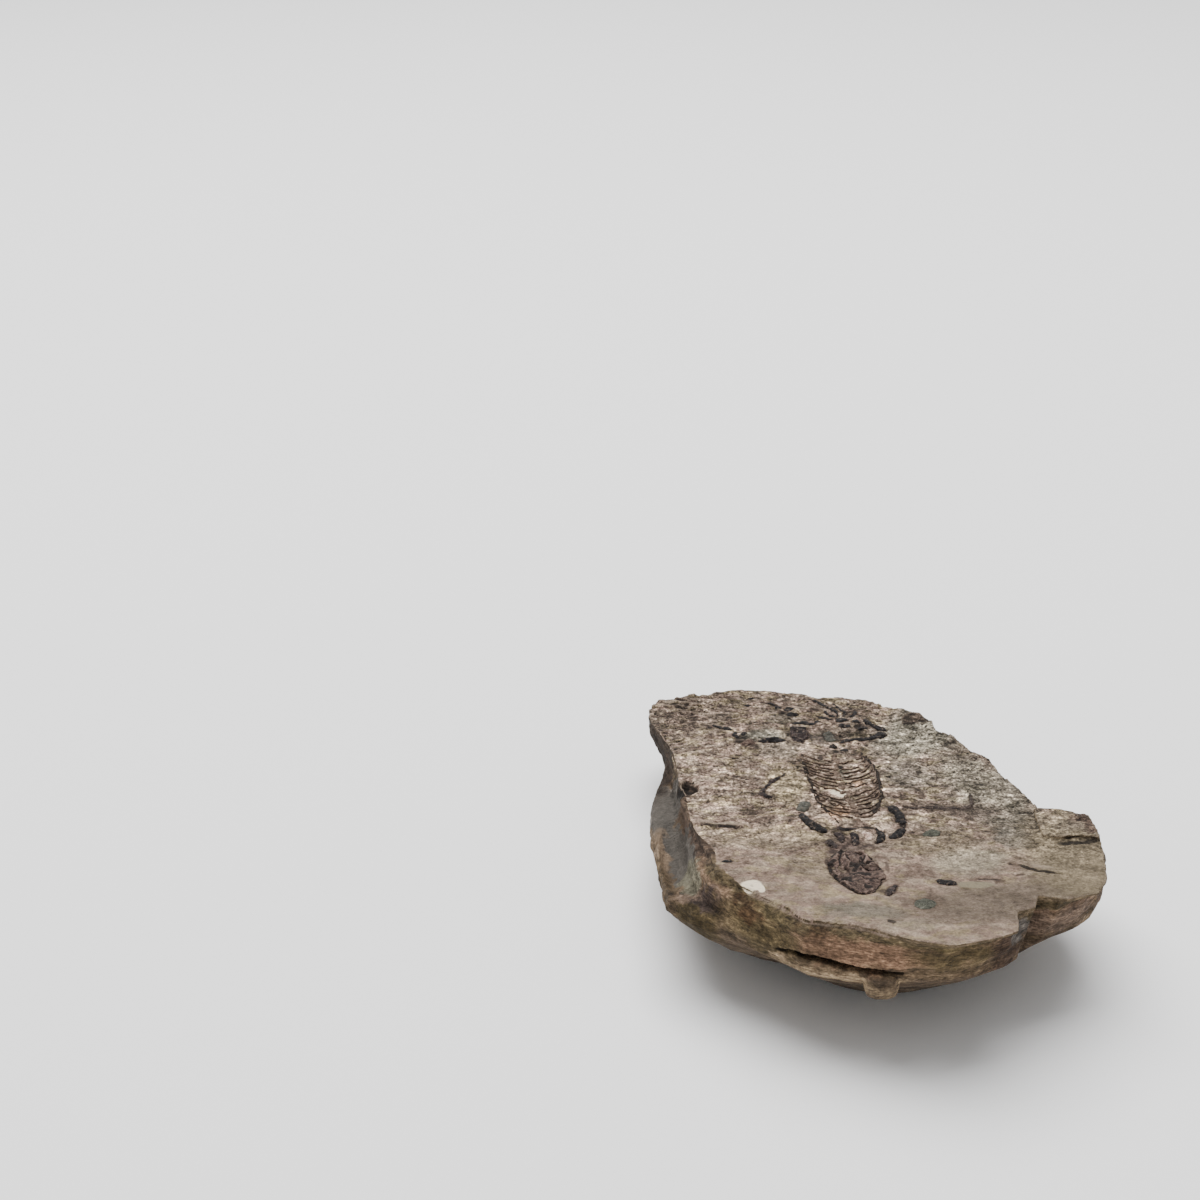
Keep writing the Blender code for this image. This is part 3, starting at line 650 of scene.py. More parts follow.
WALL_PATCHES = (
    Patch((-38, -72, 36), (16, 14, 7), (0.115, 0.086, 0.043), 0.8),
    Patch((-42, -66, 38), (5, 8, 3.2), RUST, 0.92),
    Patch((-22, -80, 41), (7, 8, 2.2), RUST, 0.7),
    Patch((-12, -90, 37.5), (20, 10, 4.5), PINK, 0.85),
    Patch((18, -95, 38), (16, 10, 6), OLIVE, 0.8),
    Patch((-25, -84, 28), (24, 12, 3.4), (0.38, 0.275, 0.17), 0.85),
    Patch((33, -84, 33), (7, 8, 11), (0.050, 0.031, 0.022), 0.85),
    Patch((36, -79, 38.5), (5.5, 5, 3.2), (0.098, 0.086, 0.076), 0.9, 0, 0.2),
    Patch((-5.2, -88, 27.5), (8, 7, 4), (0.22, 0.160, 0.098), 0.85),
    Patch((-58, -58, 28), (9, 10, 12), (0.062, 0.045, 0.021), 0.9),
    Patch((-68, -45, 22), (6, 14, 8), RUST, 0.6),
    Patch((-56, -52, 34), (2.2, 9, 9), (0.060, 0.042, 0.040), 0.75, 35),
    Patch((-57, 0, 33), (4.5, 34, 5), (0.080, 0.054, 0.040), 0.85),
    Patch((-53.5, -30, 38), (4.2, 16, 7), (0.050, 0.034, 0.025), 0.95, 12),
    Patch((-65.3, 14, 28), (6.2, 20, 9), HOLLOW_GREY, 0.95, 0, 0.15),
    Patch((-60.8, -20, 29.5), (4.4, 27, 8.5), HOLLOW_GREY, 0.95, 9, 0.15),
    Patch((-58.2, -40, 32.5), (3.6, 10, 6), (0.165, 0.150, 0.106), 0.9, 9, 0.2),
    Patch((-66.6, -14, 26), (2.3, 13, 6), (0.23, 0.165, 0.112), 0.85, 5, 0.3),
    Patch((-66.5, -38, 26), (3.8, 15, 8), (0.075, 0.053, 0.032), 0.85, 5, 0.3),
    Patch((-59.5, -49.5, 32), (5, 2.2, 4), (0.24, 0.165, 0.12), 0.75),
    Patch((-58.4, 12.8, 32.5), (2.8, 5.5, 4.8), SOOT, 0.9, 0, 0.3),
    Patch((-67, 55, 24), (8, 34, 16), (0.034, 0.024, 0.018), 0.95),
    Patch((52, -66, 33), (20, 12, 4.5), (0.150, 0.105, 0.080), 0.7),
    Patch((68, -30, 28), (8, 26, 10), (0.060, 0.039, 0.028), 0.8),
    Patch((28, 76, 26), (18, 20, 8), (0.085, 0.070, 0.045), 0.8),
)

# The smooth hollow in the left wall, where the grain is faint
HOLLOW_SHAPE = Patch((-62.6, -9, 29), (6.0, 38, 9.0), HOLLOW_GREY, 0.36, 6, 0.15)


def lay_patches(bench: NodeBench, group: bpy.types.NodeTree, place: Socket, colour: Socket,
                patches: tuple[Patch, ...]) -> Socket:
    """Lay ovals of other colour over a colour.

    Args:
        bench: the material's bench.
        group: the group that makes an oval's mask.
        place: place, in drawing millimetres.
        colour: the colour under them.
        patches: the ovals, the lowest one first.

    Returns:
        The colour.
    """
    for patch in patches:
        colour = bench.mix(patch.mask(bench, group, place), colour, patch.colour)
    return colour


@dataclass(frozen=True)
class StoneFinish:
    """Siltstone: a mauve split face with coloured patches, and banded walls.

    Args:
        effects: the shared node groups.
        mauve: main colour of the split face.
        pale: its paler streaks.
        olive: its yellower blotches.
        stain: its colour round the bones and beside the ribs, dark staining and painted shade.
        bands: colours down the wall, each with the depth where it starts.
        blend: how far a band fades into the next one, up and down.
        wander: how far the bands wander up and down in all.
        skin: how it takes the light.
    """

    effects: Effects
    mauve: Colour = (0.212, 0.150, 0.116)
    pale: Colour = (0.268, 0.205, 0.156)
    olive: Colour = (0.250, 0.200, 0.112)
    stain: Colour = (0.030, 0.021, 0.017)
    bands: tuple[tuple[float, Colour], ...] = (
        (0.0, (0.125, 0.092, 0.056)),
        (2.0, (0.085, 0.063, 0.035)),
        (4.6, (0.170, 0.110, 0.070)),
        (6.0, (0.125, 0.084, 0.050)),
        (11.0, (0.140, 0.098, 0.060)),
        (15.0, (0.100, 0.071, 0.047)),
        (24.0, (0.130, 0.098, 0.070)),
    )
    blend: float = 0.5
    wander: float = 5.0
    skin: Skin = Skin(0.85, 0.14, 0.9, 0.0006)

    # How ragged the broad patches and the small marks are
    PATCH_RAGGED = 1.0
    MARK_RAGGED = 0.18

    # How the grain is squeezed on the face, and along the bedding of the walls
    FACE_SQUEEZE = (0.85, 1.0, 0.3)
    WALL_SQUEEZE = (0.45, 0.45, 1.5)

    # Where the wall starts, by depth below the face and by steepness
    DEEP = Ramp(1.3, 2.1)
    STEEP = Ramp(0.42, 0.66)

    # Painted shade: near black in the hollows; painted highlight: pale on the crests, which is faint on the
    # walls
    HOLLOWS = Ramp(0.04, 0.26, 0.8)
    CRESTS = Ramp(-0.05, -0.30, 0.35)
    CREST_REACH = 1.15

    # Streaks and warm blotches of the face
    STREAKS = Noise(0.30, (0.5, 1.0, 0.3), 3.0)
    STREAK_EDGE = Ramp(0.44, 0.58)
    WARMTH = Noise(0.22, (0.7, 1.0, 0.3), 4.0, 0.65)
    WARMTH_EDGE = Ramp(0.50, 0.60, 0.6)

    # Strength of the grain near the head, and how it and the specks grow towards the tail
    NEAR_GRAIN = 0.24
    GRAIN_RISE = Ramp(-70.0, 5.0, 0.72)
    SPECK_RISE = Ramp(-45.0, 30.0, 0.85)

    # Brightness near the head, and how it falls towards the tail
    NEAR_LIGHT = 1.12
    NEAR_FADE = Ramp(-75.0, -45.0, 0.12)
    FAR_FADE = Ramp(10.0, 75.0, 0.34)

    # How strongly the dark staining and painted shade round the bones and ribs shows
    STAIN_EDGE = Ramp(0.15, 0.9, 0.85)
    BAND_WANDER = Noise(0.07, (1.0, 1.0, 2.0))
    WALL_GRAIN = 0.5

    def material(self) -> bpy.types.Material:
        """Build the material.

        Returns:
            The new material.
        """
        made, bench = start_material("siltstone")
        place = bench.add("Group", {"node_tree": self.effects.place}, {"Raggedness": self.PATCH_RAGGED})
        where, ragged = place.outputs["Place"], place.outputs["Ragged"]
        fine = bench.add("Group", {"node_tree": self.effects.place}, {"Raggedness": self.MARK_RAGGED})
        flat = bench.vector("MULTIPLY", where, self.FACE_SQUEEZE)
        grit = bench.add("Group", {"node_tree": self.effects.grit}, {"Place": flat})
        face = self.face_colour(bench, where, ragged, fine.outputs["Ragged"], grit)
        bedded = bench.vector("MULTIPLY", where, self.WALL_SQUEEZE)
        layers = bench.add("Group", {"node_tree": self.effects.grit}, {"Place": bedded})
        wall = self.wall_colour(bench, where, ragged, layers)
        on_wall = bench.math("MAXIMUM", bench.ramp(bench.attribute("depth"), self.DEEP),
                             bench.ramp(bench.attribute("side"), self.STEEP))
        colour = bench.mix(on_wall, face, wall)
        # Painted shade in the hollows and painted highlight on the crests, both read from the cavity value
        colour = bench.mix(bench.ramp(bench.attribute("cavity"), self.HOLLOWS), colour, SOOT)
        crest = bench.math("MULTIPLY", bench.ramp(bench.attribute("cavity"), self.CRESTS),
                           bench.math("SUBTRACT", self.CREST_REACH, on_wall))
        colour = bench.mix(crest, colour, PALE)
        close_material(bench, colour, grit.outputs["Height"], self.skin)
        return made

    def face_colour(self, bench: NodeBench, where: Socket, ragged: Socket, neat: Socket,
                    grit: bpy.types.Node) -> Socket:
        """Colour of the split face, more broken and darker towards the tail.

        Args:
            bench: the material's bench.
            where: place.
            ragged: place with strong distortion, for the broad patches.
            neat: place with slight distortion, for the small marks.
            grit: the grit group's node.

        Returns:
            The colour.
        """
        along = bench.add("SeparateXYZ", None, {0: where}).outputs["Y"]
        streak = bench.ramp(bench.noise(where, self.STREAKS), self.STREAK_EDGE)
        colour = bench.mix(streak, self.mauve, self.pale)
        warm = bench.ramp(bench.noise(where, self.WARMTH), self.WARMTH_EDGE)
        colour = bench.mix(warm, colour, self.olive)
        colour = lay_patches(bench, self.effects.patch, ragged, colour, FACE_PATCHES)
        reach = bench.math("ADD", bench.ramp(along, self.GRAIN_RISE), self.NEAR_GRAIN)
        colour = bench.contrast(colour, grit.outputs["Tone"], reach)
        fade = bench.math("SUBTRACT", self.NEAR_LIGHT, bench.ramp(along, self.NEAR_FADE))
        fade = bench.math("SUBTRACT", fade, bench.ramp(along, self.FAR_FADE))
        colour = bench.scaled(colour, fade)
        specks = bench.math("MULTIPLY", grit.outputs["Specks"], bench.ramp(along, self.SPECK_RISE))
        colour = bench.mix(specks, colour, SOOT)
        colour = lay_patches(bench, self.effects.patch, neat, colour, FACE_MARKS)
        # Dark staining and painted shade round the bones, and painted shade beside the ribs
        return bench.mix(bench.ramp(bench.attribute("stain"), self.STAIN_EDGE), colour, self.stain)

    def wall_colour(self, bench: NodeBench, where: Socket, ragged: Socket, grit: bpy.types.Node) -> Socket:
        """Colour of the walls, in bands along the bedding.

        Args:
            bench: the material's bench.
            where: place.
            ragged: place with strong distortion.
            grit: the grit group's node, drawn out along the bedding.

        Returns:
            The colour.
        """
        wander = bench.math("MULTIPLY", bench.noise(where, self.BAND_WANDER), self.wander)
        depth = bench.math("ADD", bench.attribute("depth"), wander)
        depth = bench.math("SUBTRACT", depth, self.wander / 2.0)
        colour = self.bands[0][1]
        for start, band in self.bands[1:]:
            colour = bench.mix(bench.ramp(depth, Ramp(start - self.blend, start + self.blend)), colour, band)
        colour = lay_patches(bench, self.effects.patch, ragged, colour, WALL_PATCHES)
        smooth = HOLLOW_SHAPE.mask(bench, self.effects.patch, where)
        reach = bench.math("SUBTRACT", self.WALL_GRAIN, smooth)
        colour = bench.contrast(colour, grit.outputs["Tone"], reach)
        return bench.mix(bench.math("MULTIPLY", grit.outputs["Specks"], reach), colour, SOOT)


@dataclass(frozen=True)
class BoneFinish:
    """Mineralised bone: dark and uneven, with stone dust clinging to it, painted highlight where it stands up
    and painted shade in its hollows.

    Args:
        effects: the shared node groups.
        name: the material's name.
        main: main colour.
        other: colour that it varies to.
        crest: painted highlight, the colour where it stands up.
        hollow: painted shade, the colour in its hollows.
        dust: colour of the stone that still clings to it.
        crust: how much of that stone shows.
        roughness: how matt it is.
    """

    effects: Effects
    name: str
    main: Colour
    other: Colour
    crest: Colour
    hollow: Colour = (0.012, 0.009, 0.008)
    dust: Colour = (0.17, 0.125, 0.095)
    crust: float = 0.7
    roughness: float = 0.5

    # How it shines, and the strength and height of its finest bumps
    SPECULAR = 0.12
    BUMP = 0.7
    BUMP_HEIGHT = 0.0003

    # The grit on it, against the stone's
    GRIT_SIZE = 0.6
    GRIT_REACH = 0.4

    # Where its tone changes and where stone clings to it
    TONE = Noise(0.55, detail=5.0, rough=0.65)
    TONE_EDGE = Ramp(0.44, 0.58)
    COVER = Noise(0.8)
    COVER_EDGE = Ramp(0.58, 0.64)

    # Painted highlight on its crests and painted shade in its hollows, by its height, and what its own dark
    # value does
    CRESTS = Ramp(-0.02, -0.20, 0.7)
    HOLLOWS = Ramp(0.02, 0.14, 0.9)
    DARK_EDGE = Ramp(0.2, 0.8, 0.9)

    def material(self) -> bpy.types.Material:
        """Build the material.

        Returns:
            The new material.
        """
        made, bench = start_material(self.name)
        where = bench.add("Group", {"node_tree": self.effects.place}).outputs["Place"]
        grit = bench.add("Group", {"node_tree": self.effects.grit}, {"Place": where, "Size": self.GRIT_SIZE})
        cavity = bench.attribute("cavity")
        colour = bench.mix(bench.ramp(bench.noise(where, self.TONE), self.TONE_EDGE), self.main, self.other)
        # Painted highlight where the bone stands up
        colour = bench.mix(bench.ramp(cavity, self.CRESTS), colour, self.crest)
        colour = bench.contrast(colour, grit.outputs["Tone"], self.GRIT_REACH)
        cover = bench.ramp(bench.noise(where, self.COVER), self.COVER_EDGE._replace(top=self.crust))
        colour = bench.mix(cover, colour, self.dust)
        # Painted shade in the bone's hollows
        colour = bench.mix(bench.ramp(cavity, self.HOLLOWS), colour, self.hollow)
        colour = bench.mix(bench.ramp(bench.attribute("dark"), self.DARK_EDGE), colour, SOOT)
        skin = Skin(self.roughness, self.SPECULAR, self.BUMP, self.BUMP_HEIGHT)
        close_material(bench, colour, grit.outputs["Height"], skin)
        return made


def pick(*items: bpy.types.Object) -> None:
    """Select these objects alone, with the first one active.

    Args:
        items: the objects.
    """
    bpy.ops.object.select_all(action="DESELECT")
    for item in items:
        item.select_set(True)
    bpy.context.view_layer.objects.active = items[0]


def merged_copy(node: str, name: str) -> bpy.types.Object:
    """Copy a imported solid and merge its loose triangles.

    Args:
        node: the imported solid.
        name: the copy's name.

    Returns:
        The new object.
    """
    item = bpy.data.objects.new(name, frame["nodes"][node].data.copy())
    bpy.context.scene.collection.objects.link(item)
    item.data.materials.clear()
    pick(item)
    bpy.ops.object.mode_set(mode="EDIT")
    bpy.ops.mesh.select_all(action="SELECT")
    bpy.ops.mesh.remove_doubles(threshold=MERGE * MM)
    bpy.ops.object.mode_set(mode="OBJECT")
    return item


def apply_modifier(item: bpy.types.Object, kind: str, **settings: object) -> None:
    """Add a modifier and apply it.

    Args:
        item: the mesh.
        kind: the modifier's type.
        settings: properties to set on it.
    """
    modifier = item.modifiers.new(kind.lower(), kind)
    for name, value in settings.items():
        setattr(modifier, name, value)
    pick(item)
    bpy.ops.object.modifier_apply(modifier=modifier.name)


def refine(item: bpy.types.Object, spacing: float, rounds: int = 0) -> None:
    """Give a closed mesh small even faces, and smooth it.

    Args:
        item: the mesh.
        spacing: distance between its points, in millimetres.
        rounds: how many times it is smoothed.
    """
    apply_modifier(item, "REMESH", mode="VOXEL", voxel_size=spacing * MM, use_smooth_shade=True)
    if rounds:
        apply_modifier(item, "SMOOTH", factor=0.5, iterations=rounds)


def read_points(item: bpy.types.Object) -> np.ndarray:
    """Read a mesh's points.

    Args:
        item: the mesh.

    Returns:
        Rows in metres.
    """
    points = np.empty(len(item.data.vertices) * 3)
    item.data.vertices.foreach_get("co", points)
    return points.reshape(-1, 3)


def write_points(item: bpy.types.Object, points: np.ndarray) -> None:
    """Write rows in metres back to a mesh."""
    item.data.vertices.foreach_set("co", points.ravel())
    item.data.update()


def read_normals(item: bpy.types.Object) -> np.ndarray:
    """Read the direction in which the surface faces at each point.

    Args:
        item: the mesh.

    Returns:
        Rows of unit length.
    """
    normals = np.empty(len(item.data.vertices) * 3)
    item.data.vertex_normals.foreach_get("vector", normals)
    return normals.reshape(-1, 3)


def write_value(item: bpy.types.Object, name: str, values: np.ndarray) -> None:
    """Store one number a point on a mesh, for its material."""
    attribute = item.data.attributes.new(name, "FLOAT", "POINT")
    attribute.data.foreach_set("value", values.astype(np.float32))


def cavity_of(item: bpy.types.Object, rounds: int) -> np.ndarray:
    """Measure how far each point lies below its smoothed surroundings.

    Args:
        item: the mesh.
        rounds: how many times the surroundings are smoothed.

    Returns:
        Depths in millimetres, negative on ridges.
    """
    points, normals = read_points(item), read_normals(item)
    edges = np.empty(len(item.data.edges) * 2, np.int64)
    item.data.edges.foreach_get("vertices", edges)
    first, second = edges.reshape(-1, 2).T
    count = np.bincount(first, minlength=len(points)) + np.bincount(second, minlength=len(points))
    count = np.maximum(count, 1)[:, None]
    smoothed = points.copy()
    for _ in range(rounds):
        total = np.zeros_like(smoothed)
        for axis in range(3):
            total[:, axis] = np.bincount(first, smoothed[second, axis], len(points))
            total[:, axis] += np.bincount(second, smoothed[first, axis], len(points))
        smoothed = 0.5 * smoothed + 0.5 * total / count
    return ((smoothed - points) * normals).sum(1) / MM


def roughen(item: bpy.types.Object, grain: Grain) -> None:
    """Push a mesh in and out with noise.

    Args:
        item: the mesh.
        grain: the noise, in millimetres.
    """
    points, normals = read_points(item), read_normals(item)
    write_points(item, points + normals * (grain.at(points / MM) * MM)[:, None])


def finish_piece(item: bpy.types.Object, material: bpy.types.Material, slot: Slot, *nodes: str) -> None:
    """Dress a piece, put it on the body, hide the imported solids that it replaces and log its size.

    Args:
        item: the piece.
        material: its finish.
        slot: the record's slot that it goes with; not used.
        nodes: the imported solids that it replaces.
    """
    item.data.materials.append(material)
    pick(item)
    bpy.ops.object.shade_smooth()
    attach(item, BODY)
    if nodes:
        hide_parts(*nodes)
    item.data.calc_loop_triangles()
    LOG.info("%s: %d triangles", item.name, len(item.data.loop_triangles))


def distance_to_path(x: np.ndarray, y: np.ndarray, path: Line | np.ndarray) -> tuple[np.ndarray, np.ndarray]:
    """Measure plan points against an open path.

    Args:
        x: places across.
        y: places along.
        path: the path's points.

    Returns:
        How far each point lies from the path, and on which side: positive to its left.
    """
    path = np.asarray(path, float)
    away, side = np.full(len(x), np.inf), np.zeros(len(x))
    for (ax, ay), (bx, by) in zip(path[:-1, :2], path[1:, :2]):
        run, climb = bx - ax, by - ay
        length = math.hypot(run, climb)
        share = np.clip(((x - ax) * run + (y - ay) * climb) / length ** 2, 0.0, 1.0)
        gap = np.hypot(x - ax - share * run, y - ay - share * climb)
        left = ((y - ay) * run - (x - ax) * climb) / length
        side = np.where(gap < away, left, side)
        away = np.minimum(gap, away)
    return away, side


class Stroke(NamedTuple):
    """A line on the face that stands up or is sunk.

    Args:
        path: its points, in drawing millimetres.
        height: how far it stands up or is sunk, in millimetres.
        breadth: how broad it is.
    """

    path: Line
    height: float
    breadth: float = 0.0


@dataclass(frozen=True)
class FaceRelief:
    """Height that broken layers, streaks and pits add to the split face, in millimetres.

    Args:
        swell: the broad rises and hollows.
        streak: the streaks across.
        grain: the finest bumps.
        pits: the noise that says where pits lie.
        pit: how deep they are by that noise.
        layers: the noise that says how many layers are left.
        layer: thickness of one layer.
        layer_edge: its broken edge, by that noise.
        near: share of all these at the near end.
        far_rise: how that share grows towards the tail.
        corner_across: where the stacked layers of the far left corner lie across the face.
        corner_along: where they lie along it.
        corner_lie: which way they follow each other.
        corner_wander: how their edges wander.
        corner_spacing: distance from one edge to the next.
        corner_edge: how steep an edge is, as a share of the spacing.
        corner_height: height of one of them.
        corner_drop: how much of it lies below the plain face.
        steps: small steps of the bedding, with how far their left side stands up.
        step_edge: how steep such a step is.
        step_end: how it dies out with distance.
        hole_at: middle of the hole at the left edge.
        hole_stretch: how much longer it is than broad.
        hole: its depth by the distance from its middle.
    """

    swell: Grain = Grain(2, (26.0, 17.0, 9.0), 0.45, 2)
    streak: Grain = Grain(3, (4.6, 3.0, 9.0), 0.34, 4)
    grain: Grain = Grain(12, (1.9, 1.5, 9.0), 0.24, 2)
    pits: Grain = Grain(4, (2.4, 1.8, 3.0), 1.0, 2)
    pit: Ramp = Ramp(0.22, 0.5, 0.36)
    layers: Grain = Grain(5, (22.0, 13.0, 30.0), 3.4, 4)
    layer: float = 0.36
    layer_edge: Ramp = Ramp(-0.1, 0.1)
    near: float = 0.45
    far_rise: Ramp = Ramp(-70.0, 0.0, 0.55)
    corner_across: Ramp = Ramp(-36.0, -56.0)
    corner_along: Ramp = Ramp(66.0, 82.0)
    corner_lie: Span = (0.25, 0.97)
    corner_wander: Grain = Grain(6, (13.0, 9.0, 9.0), 7.0, 4)
    corner_spacing: float = 4.6
    corner_edge: Ramp = Ramp(0.0, 0.18)
    corner_height: float = 1.3
    corner_drop: float = 0.4
    steps: tuple[Stroke, ...] = (
        Stroke(((-56.4, -16.0), (-50.0, -17.0), (-42.3, -16.7)), 0.7),
        Stroke(((12.5, -4.6), (20.0, -4.8), (27.0, -3.4), (35.0, -1.4), (41.0, -0.4)), 0.55),
        Stroke(((40.6, -46.2), (45.5, -49.6), (52.0, -52.0)), 0.5),
        Stroke(((-30.0, 4.0), (-24.0, 1.0), (-21.0, -4.0)), 0.35),
    )
    step_edge: Ramp = Ramp(-0.5, 0.5)
    step_end: Ramp = Ramp(9.0, 0.0)
    hole_at: Span = (-56.7, 13.6)
    hole_stretch: float = 1.7
    hole: Ramp = Ramp(3.6, 2.0, 2.4)

    def at(self, x: np.ndarray, y: np.ndarray) -> np.ndarray:
        """Work out the height over the plain face.

        Args:
            x: places across.
            y: places along.

        Returns:
            Heights in millimetres.
        """
        flat = np.stack([x, y, np.zeros_like(x)], 1)
        rise = self.swell.at(flat)
        rise += self.streak.at(flat)
        rise += self.grain.at(flat)
        rise -= self.pit.at(self.pits.at(flat))
        layers = self.layers.at(flat)
        nearest = np.round(layers)
        rise += self.layer * (nearest + self.layer_edge.at(layers - nearest) - 0.5)
        rise = rise * (self.near + self.far_rise.at(y))
        corner = self.corner_across.at(x) * self.corner_along.at(y)
        across, along = self.corner_lie
        stacked = (across * x + along * y + self.corner_wander.at(flat)) / self.corner_spacing
        share = stacked - np.floor(stacked)
        ledge = self.corner_edge.at(share) * (1.0 - share) - self.corner_drop
        rise += self.corner_height * corner * ledge
        for step in self.steps:
            away, ahead = distance_to_path(x, y, step.path)
            rise += step.height * self.step_edge.at(ahead) * self.step_end.at(away)
        from_hole = np.hypot(x - self.hole_at[0], (y - self.hole_at[1]) / self.hole_stretch)
        return rise - self.hole.at(from_hole)


RELIEF = FaceRelief()


def flatten(drawn: np.ndarray, height: float) -> None:
    """Press what stands over the face down.

    Args:
        drawn: points in drawing millimetres, which it changes.
        height: share of their height over the face that is left.
    """
    above = drawn[:, 2] - PLAN.height(drawn[:, 0], drawn[:, 1])
    drawn[:, 2] -= np.maximum(above, 0.0) * (1.0 - height)

@dataclass
class RibBasket:
    """Ribs and backbone, as thin swept strands on the face.

    Args:
        finish: its finish.
        backbone: middle of the backbone, tail first, in drawing millimetres.
        left_flank: ends of the left ribs.
        right_flank: ends of the right ribs.
        flank_lines: dark broken lines down both flanks.
        pairs: how many pairs of ribs.
        sweep: how far a left and a right rib's end lies towards the tail.
        curl: how strongly left and right ribs bend; 0 is straight.
        radius: a rib's radius at its root.
        lift: how far a rib's middle lies over the face.
        voxel: spacing of its mesh.
        rough: the noise on its surface.
        dark: how dark the flank lines are, by distance from them.
    """

    finish: BoneFinish
    backbone: Line = ((-6.6, 40), (-7.4, 30), (-7.6, 20), (-6.9, 10), (-5.9, 0), (-4.9, -9), (-4.6, -14))
    left_flank: Line = (
        (-18.0, 42), (-18.6, 30), (-18.0, 18), (-16.6, 6), (-14.7, -5), (-11.4, -16), (-9.5, -18))
    right_flank: Line = ((3.2, 42), (5.8, 30), (6.2, 18), (5.4, 6), (3.4, -3), (0.6, -12), (-1.6, -18))
    flank_lines: tuple[Line, ...] = (
        ((-18.1, 31.8), (-17.5, 18.4), (-16.4, 5.6), (-14.5, -5.4), (-11.1, -16.7)),
        ((2.8, 42.0), (6.0, 28.4), (5.7, 14.4), (5.3, 2.4), (0.7, -9.2)))
    pairs: int = 16
    sweep: Span = (10.0, 14.5)
    curl: Span = (0.45, 1.0)
    radius: float = 0.32
    lift: float = 0.08
    voxel: float = 0.2
    rough: Grain = Grain(21, (1.4, 1.4, 1.4), 0.16)
    dark: Ramp = Ramp(1.2, 0.6)

    # Seeds of the chance in the ribs, the flank lines and the backbone
    RIB_SEED, FLANK_SEED, BONE_SEED = 7, 5, 11

    # How far the first rib's root lies from the tail end of the backbone
    FIRST_ROOT = 7.0

    # Sweep of the first and last ribs, and how much more the middle ones have
    END_SWEEP, MORE_SWEEP = 0.7, 0.3
    SWEEP_SPREAD = (0.9, 1.1)

    # Where a rib starts, as a share of its length, and its number of points
    RIB_START, RIB_POINTS = 0.10, 15

    # How far a strand is shifted, how it waves, how short of the flank's tail end a rib may stop,
    # and how much of the way to the flank it spans
    SHIFT = (-0.35, 0.35)
    WAVE, WAVES = 0.18, 5.0
    TIP_LOSS = 0.5
    REACH = (0.93, 1.0)

    # Where a rib may break, and the chances that its root is lost or that it is broken
    BREAKS = (4, 11)
    LOST, BROKEN = 0.1, 0.5

    # Length of a flank strand, the gap after it, and its number of points
    DASH, DASH_GAP, DASH_POINTS = (1.8, 4.2), (0.3, 1.2), 6

    # How a strand thins towards its end, and how it swells and shrinks
    TAPER, BEAD, BEADS = 0.3, 0.2, 2.3

    # Half lengths of a vertebra, how they vary, the spacing, the shift and how deep one sits
    LUMP, LUMP_SPREAD, LUMP_SPACING = (1.5, 1.2, 0.6), (0.75, 1.1), 3.1
    LUMP_SHIFT, LUMP_SINK = (-0.4, 0.4), 0.1

    # How many times its surroundings are smoothed to find its hollows
    HOLLOW_ROUNDS = 5

    @staticmethod
    def at(line: Line, y: float | np.ndarray) -> float | np.ndarray:
        """Read a line's x at the given y."""
        points = np.array(line, float)[::-1]
        return np.interp(y, points[:, 1], points[:, 0])

    def covers(self, x: np.ndarray, y: np.ndarray, margin: float) -> np.ndarray:
        """Say which plan points lie inside the basket, or within a margin of it."""
        inside = (x > self.at(self.left_flank, y) - margin) & (x < self.at(self.right_flank, y) + margin)
        return inside & (y < self.left_flank[0][1] + margin) & (y > self.left_flank[-1][1] - margin)

    def strand(self, across: np.ndarray, along: np.ndarray) -> np.ndarray:
        """Lay plan points on the face, for a strand's middle line."""
        height = PLAN.height(across, along) + RELIEF.at(across, along) + self.lift
        return np.stack([across, along, height], 1)

    def rib_paths(self) -> list[np.ndarray]:
        """Work out every rib's middle line; one with a break is two lines.

        Returns:
            Paths in drawing millimetres.
        """
        chance = np.random.default_rng(self.RIB_SEED)
        paths = []
        top, bottom = self.backbone[0][1] - self.FIRST_ROOT, self.backbone[-1][1]
        for pair in range(self.pairs):
            share = (pair + 0.5) / self.pairs
            start = top + (bottom - top) * share
            for flank, curl, reach in zip((self.left_flank, self.right_flank), self.curl, self.sweep):
                sweep = reach * (self.END_SWEEP + self.MORE_SWEEP * math.sin(math.pi * share))
                sweep = sweep * chance.uniform(*self.SWEEP_SPREAD)
                t = np.linspace(self.RIB_START, 1.0, self.RIB_POINTS)
                turned = t * math.pi / 2.0
                along = start + sweep * ((1.0 - curl) * t + curl * (1.0 - np.cos(turned)))
                along = along + chance.uniform(*self.SHIFT) + self.WAVE * np.sin(self.WAVES * t + pair)
                along = np.minimum(along, flank[0][1] - self.TIP_LOSS * chance.random())
                root, tip = self.at(self.backbone, start), self.at(flank, along[-1])
                out = (1.0 - curl) * t + curl * np.sin(turned)
                path = self.strand(root + (tip - root) * out * chance.uniform(*self.REACH), along)
                cut = chance.integers(*self.BREAKS)
                if chance.random() < self.LOST:
                    paths.append(path[cut:])
                elif chance.random() < self.BROKEN:
                    paths += [path[:cut], path[cut + 1:]]
                else:
                    paths.append(path)
        return [path for path in paths if len(path) > 2]

    def flank_paths(self) -> list[np.ndarray]:
        """Work out the short strands of both flank lines.

        Returns:
            Paths in drawing millimetres.
        """
        chance = np.random.default_rng(self.FLANK_SEED)
        paths = []
        for line in self.flank_lines:
            points = np.array(line, float)[::-1]
            start = points[0, 1]
            while start < points[-1, 1] - 1.0:
                along = np.linspace(start, start + chance.uniform(*self.DASH), self.DASH_POINTS)
                across = np.interp(along, points[:, 1], points[:, 0]) + chance.uniform(*self.SHIFT)
                paths.append(self.strand(across, along))
                start = along[-1] + chance.uniform(*self.DASH_GAP)
        return paths

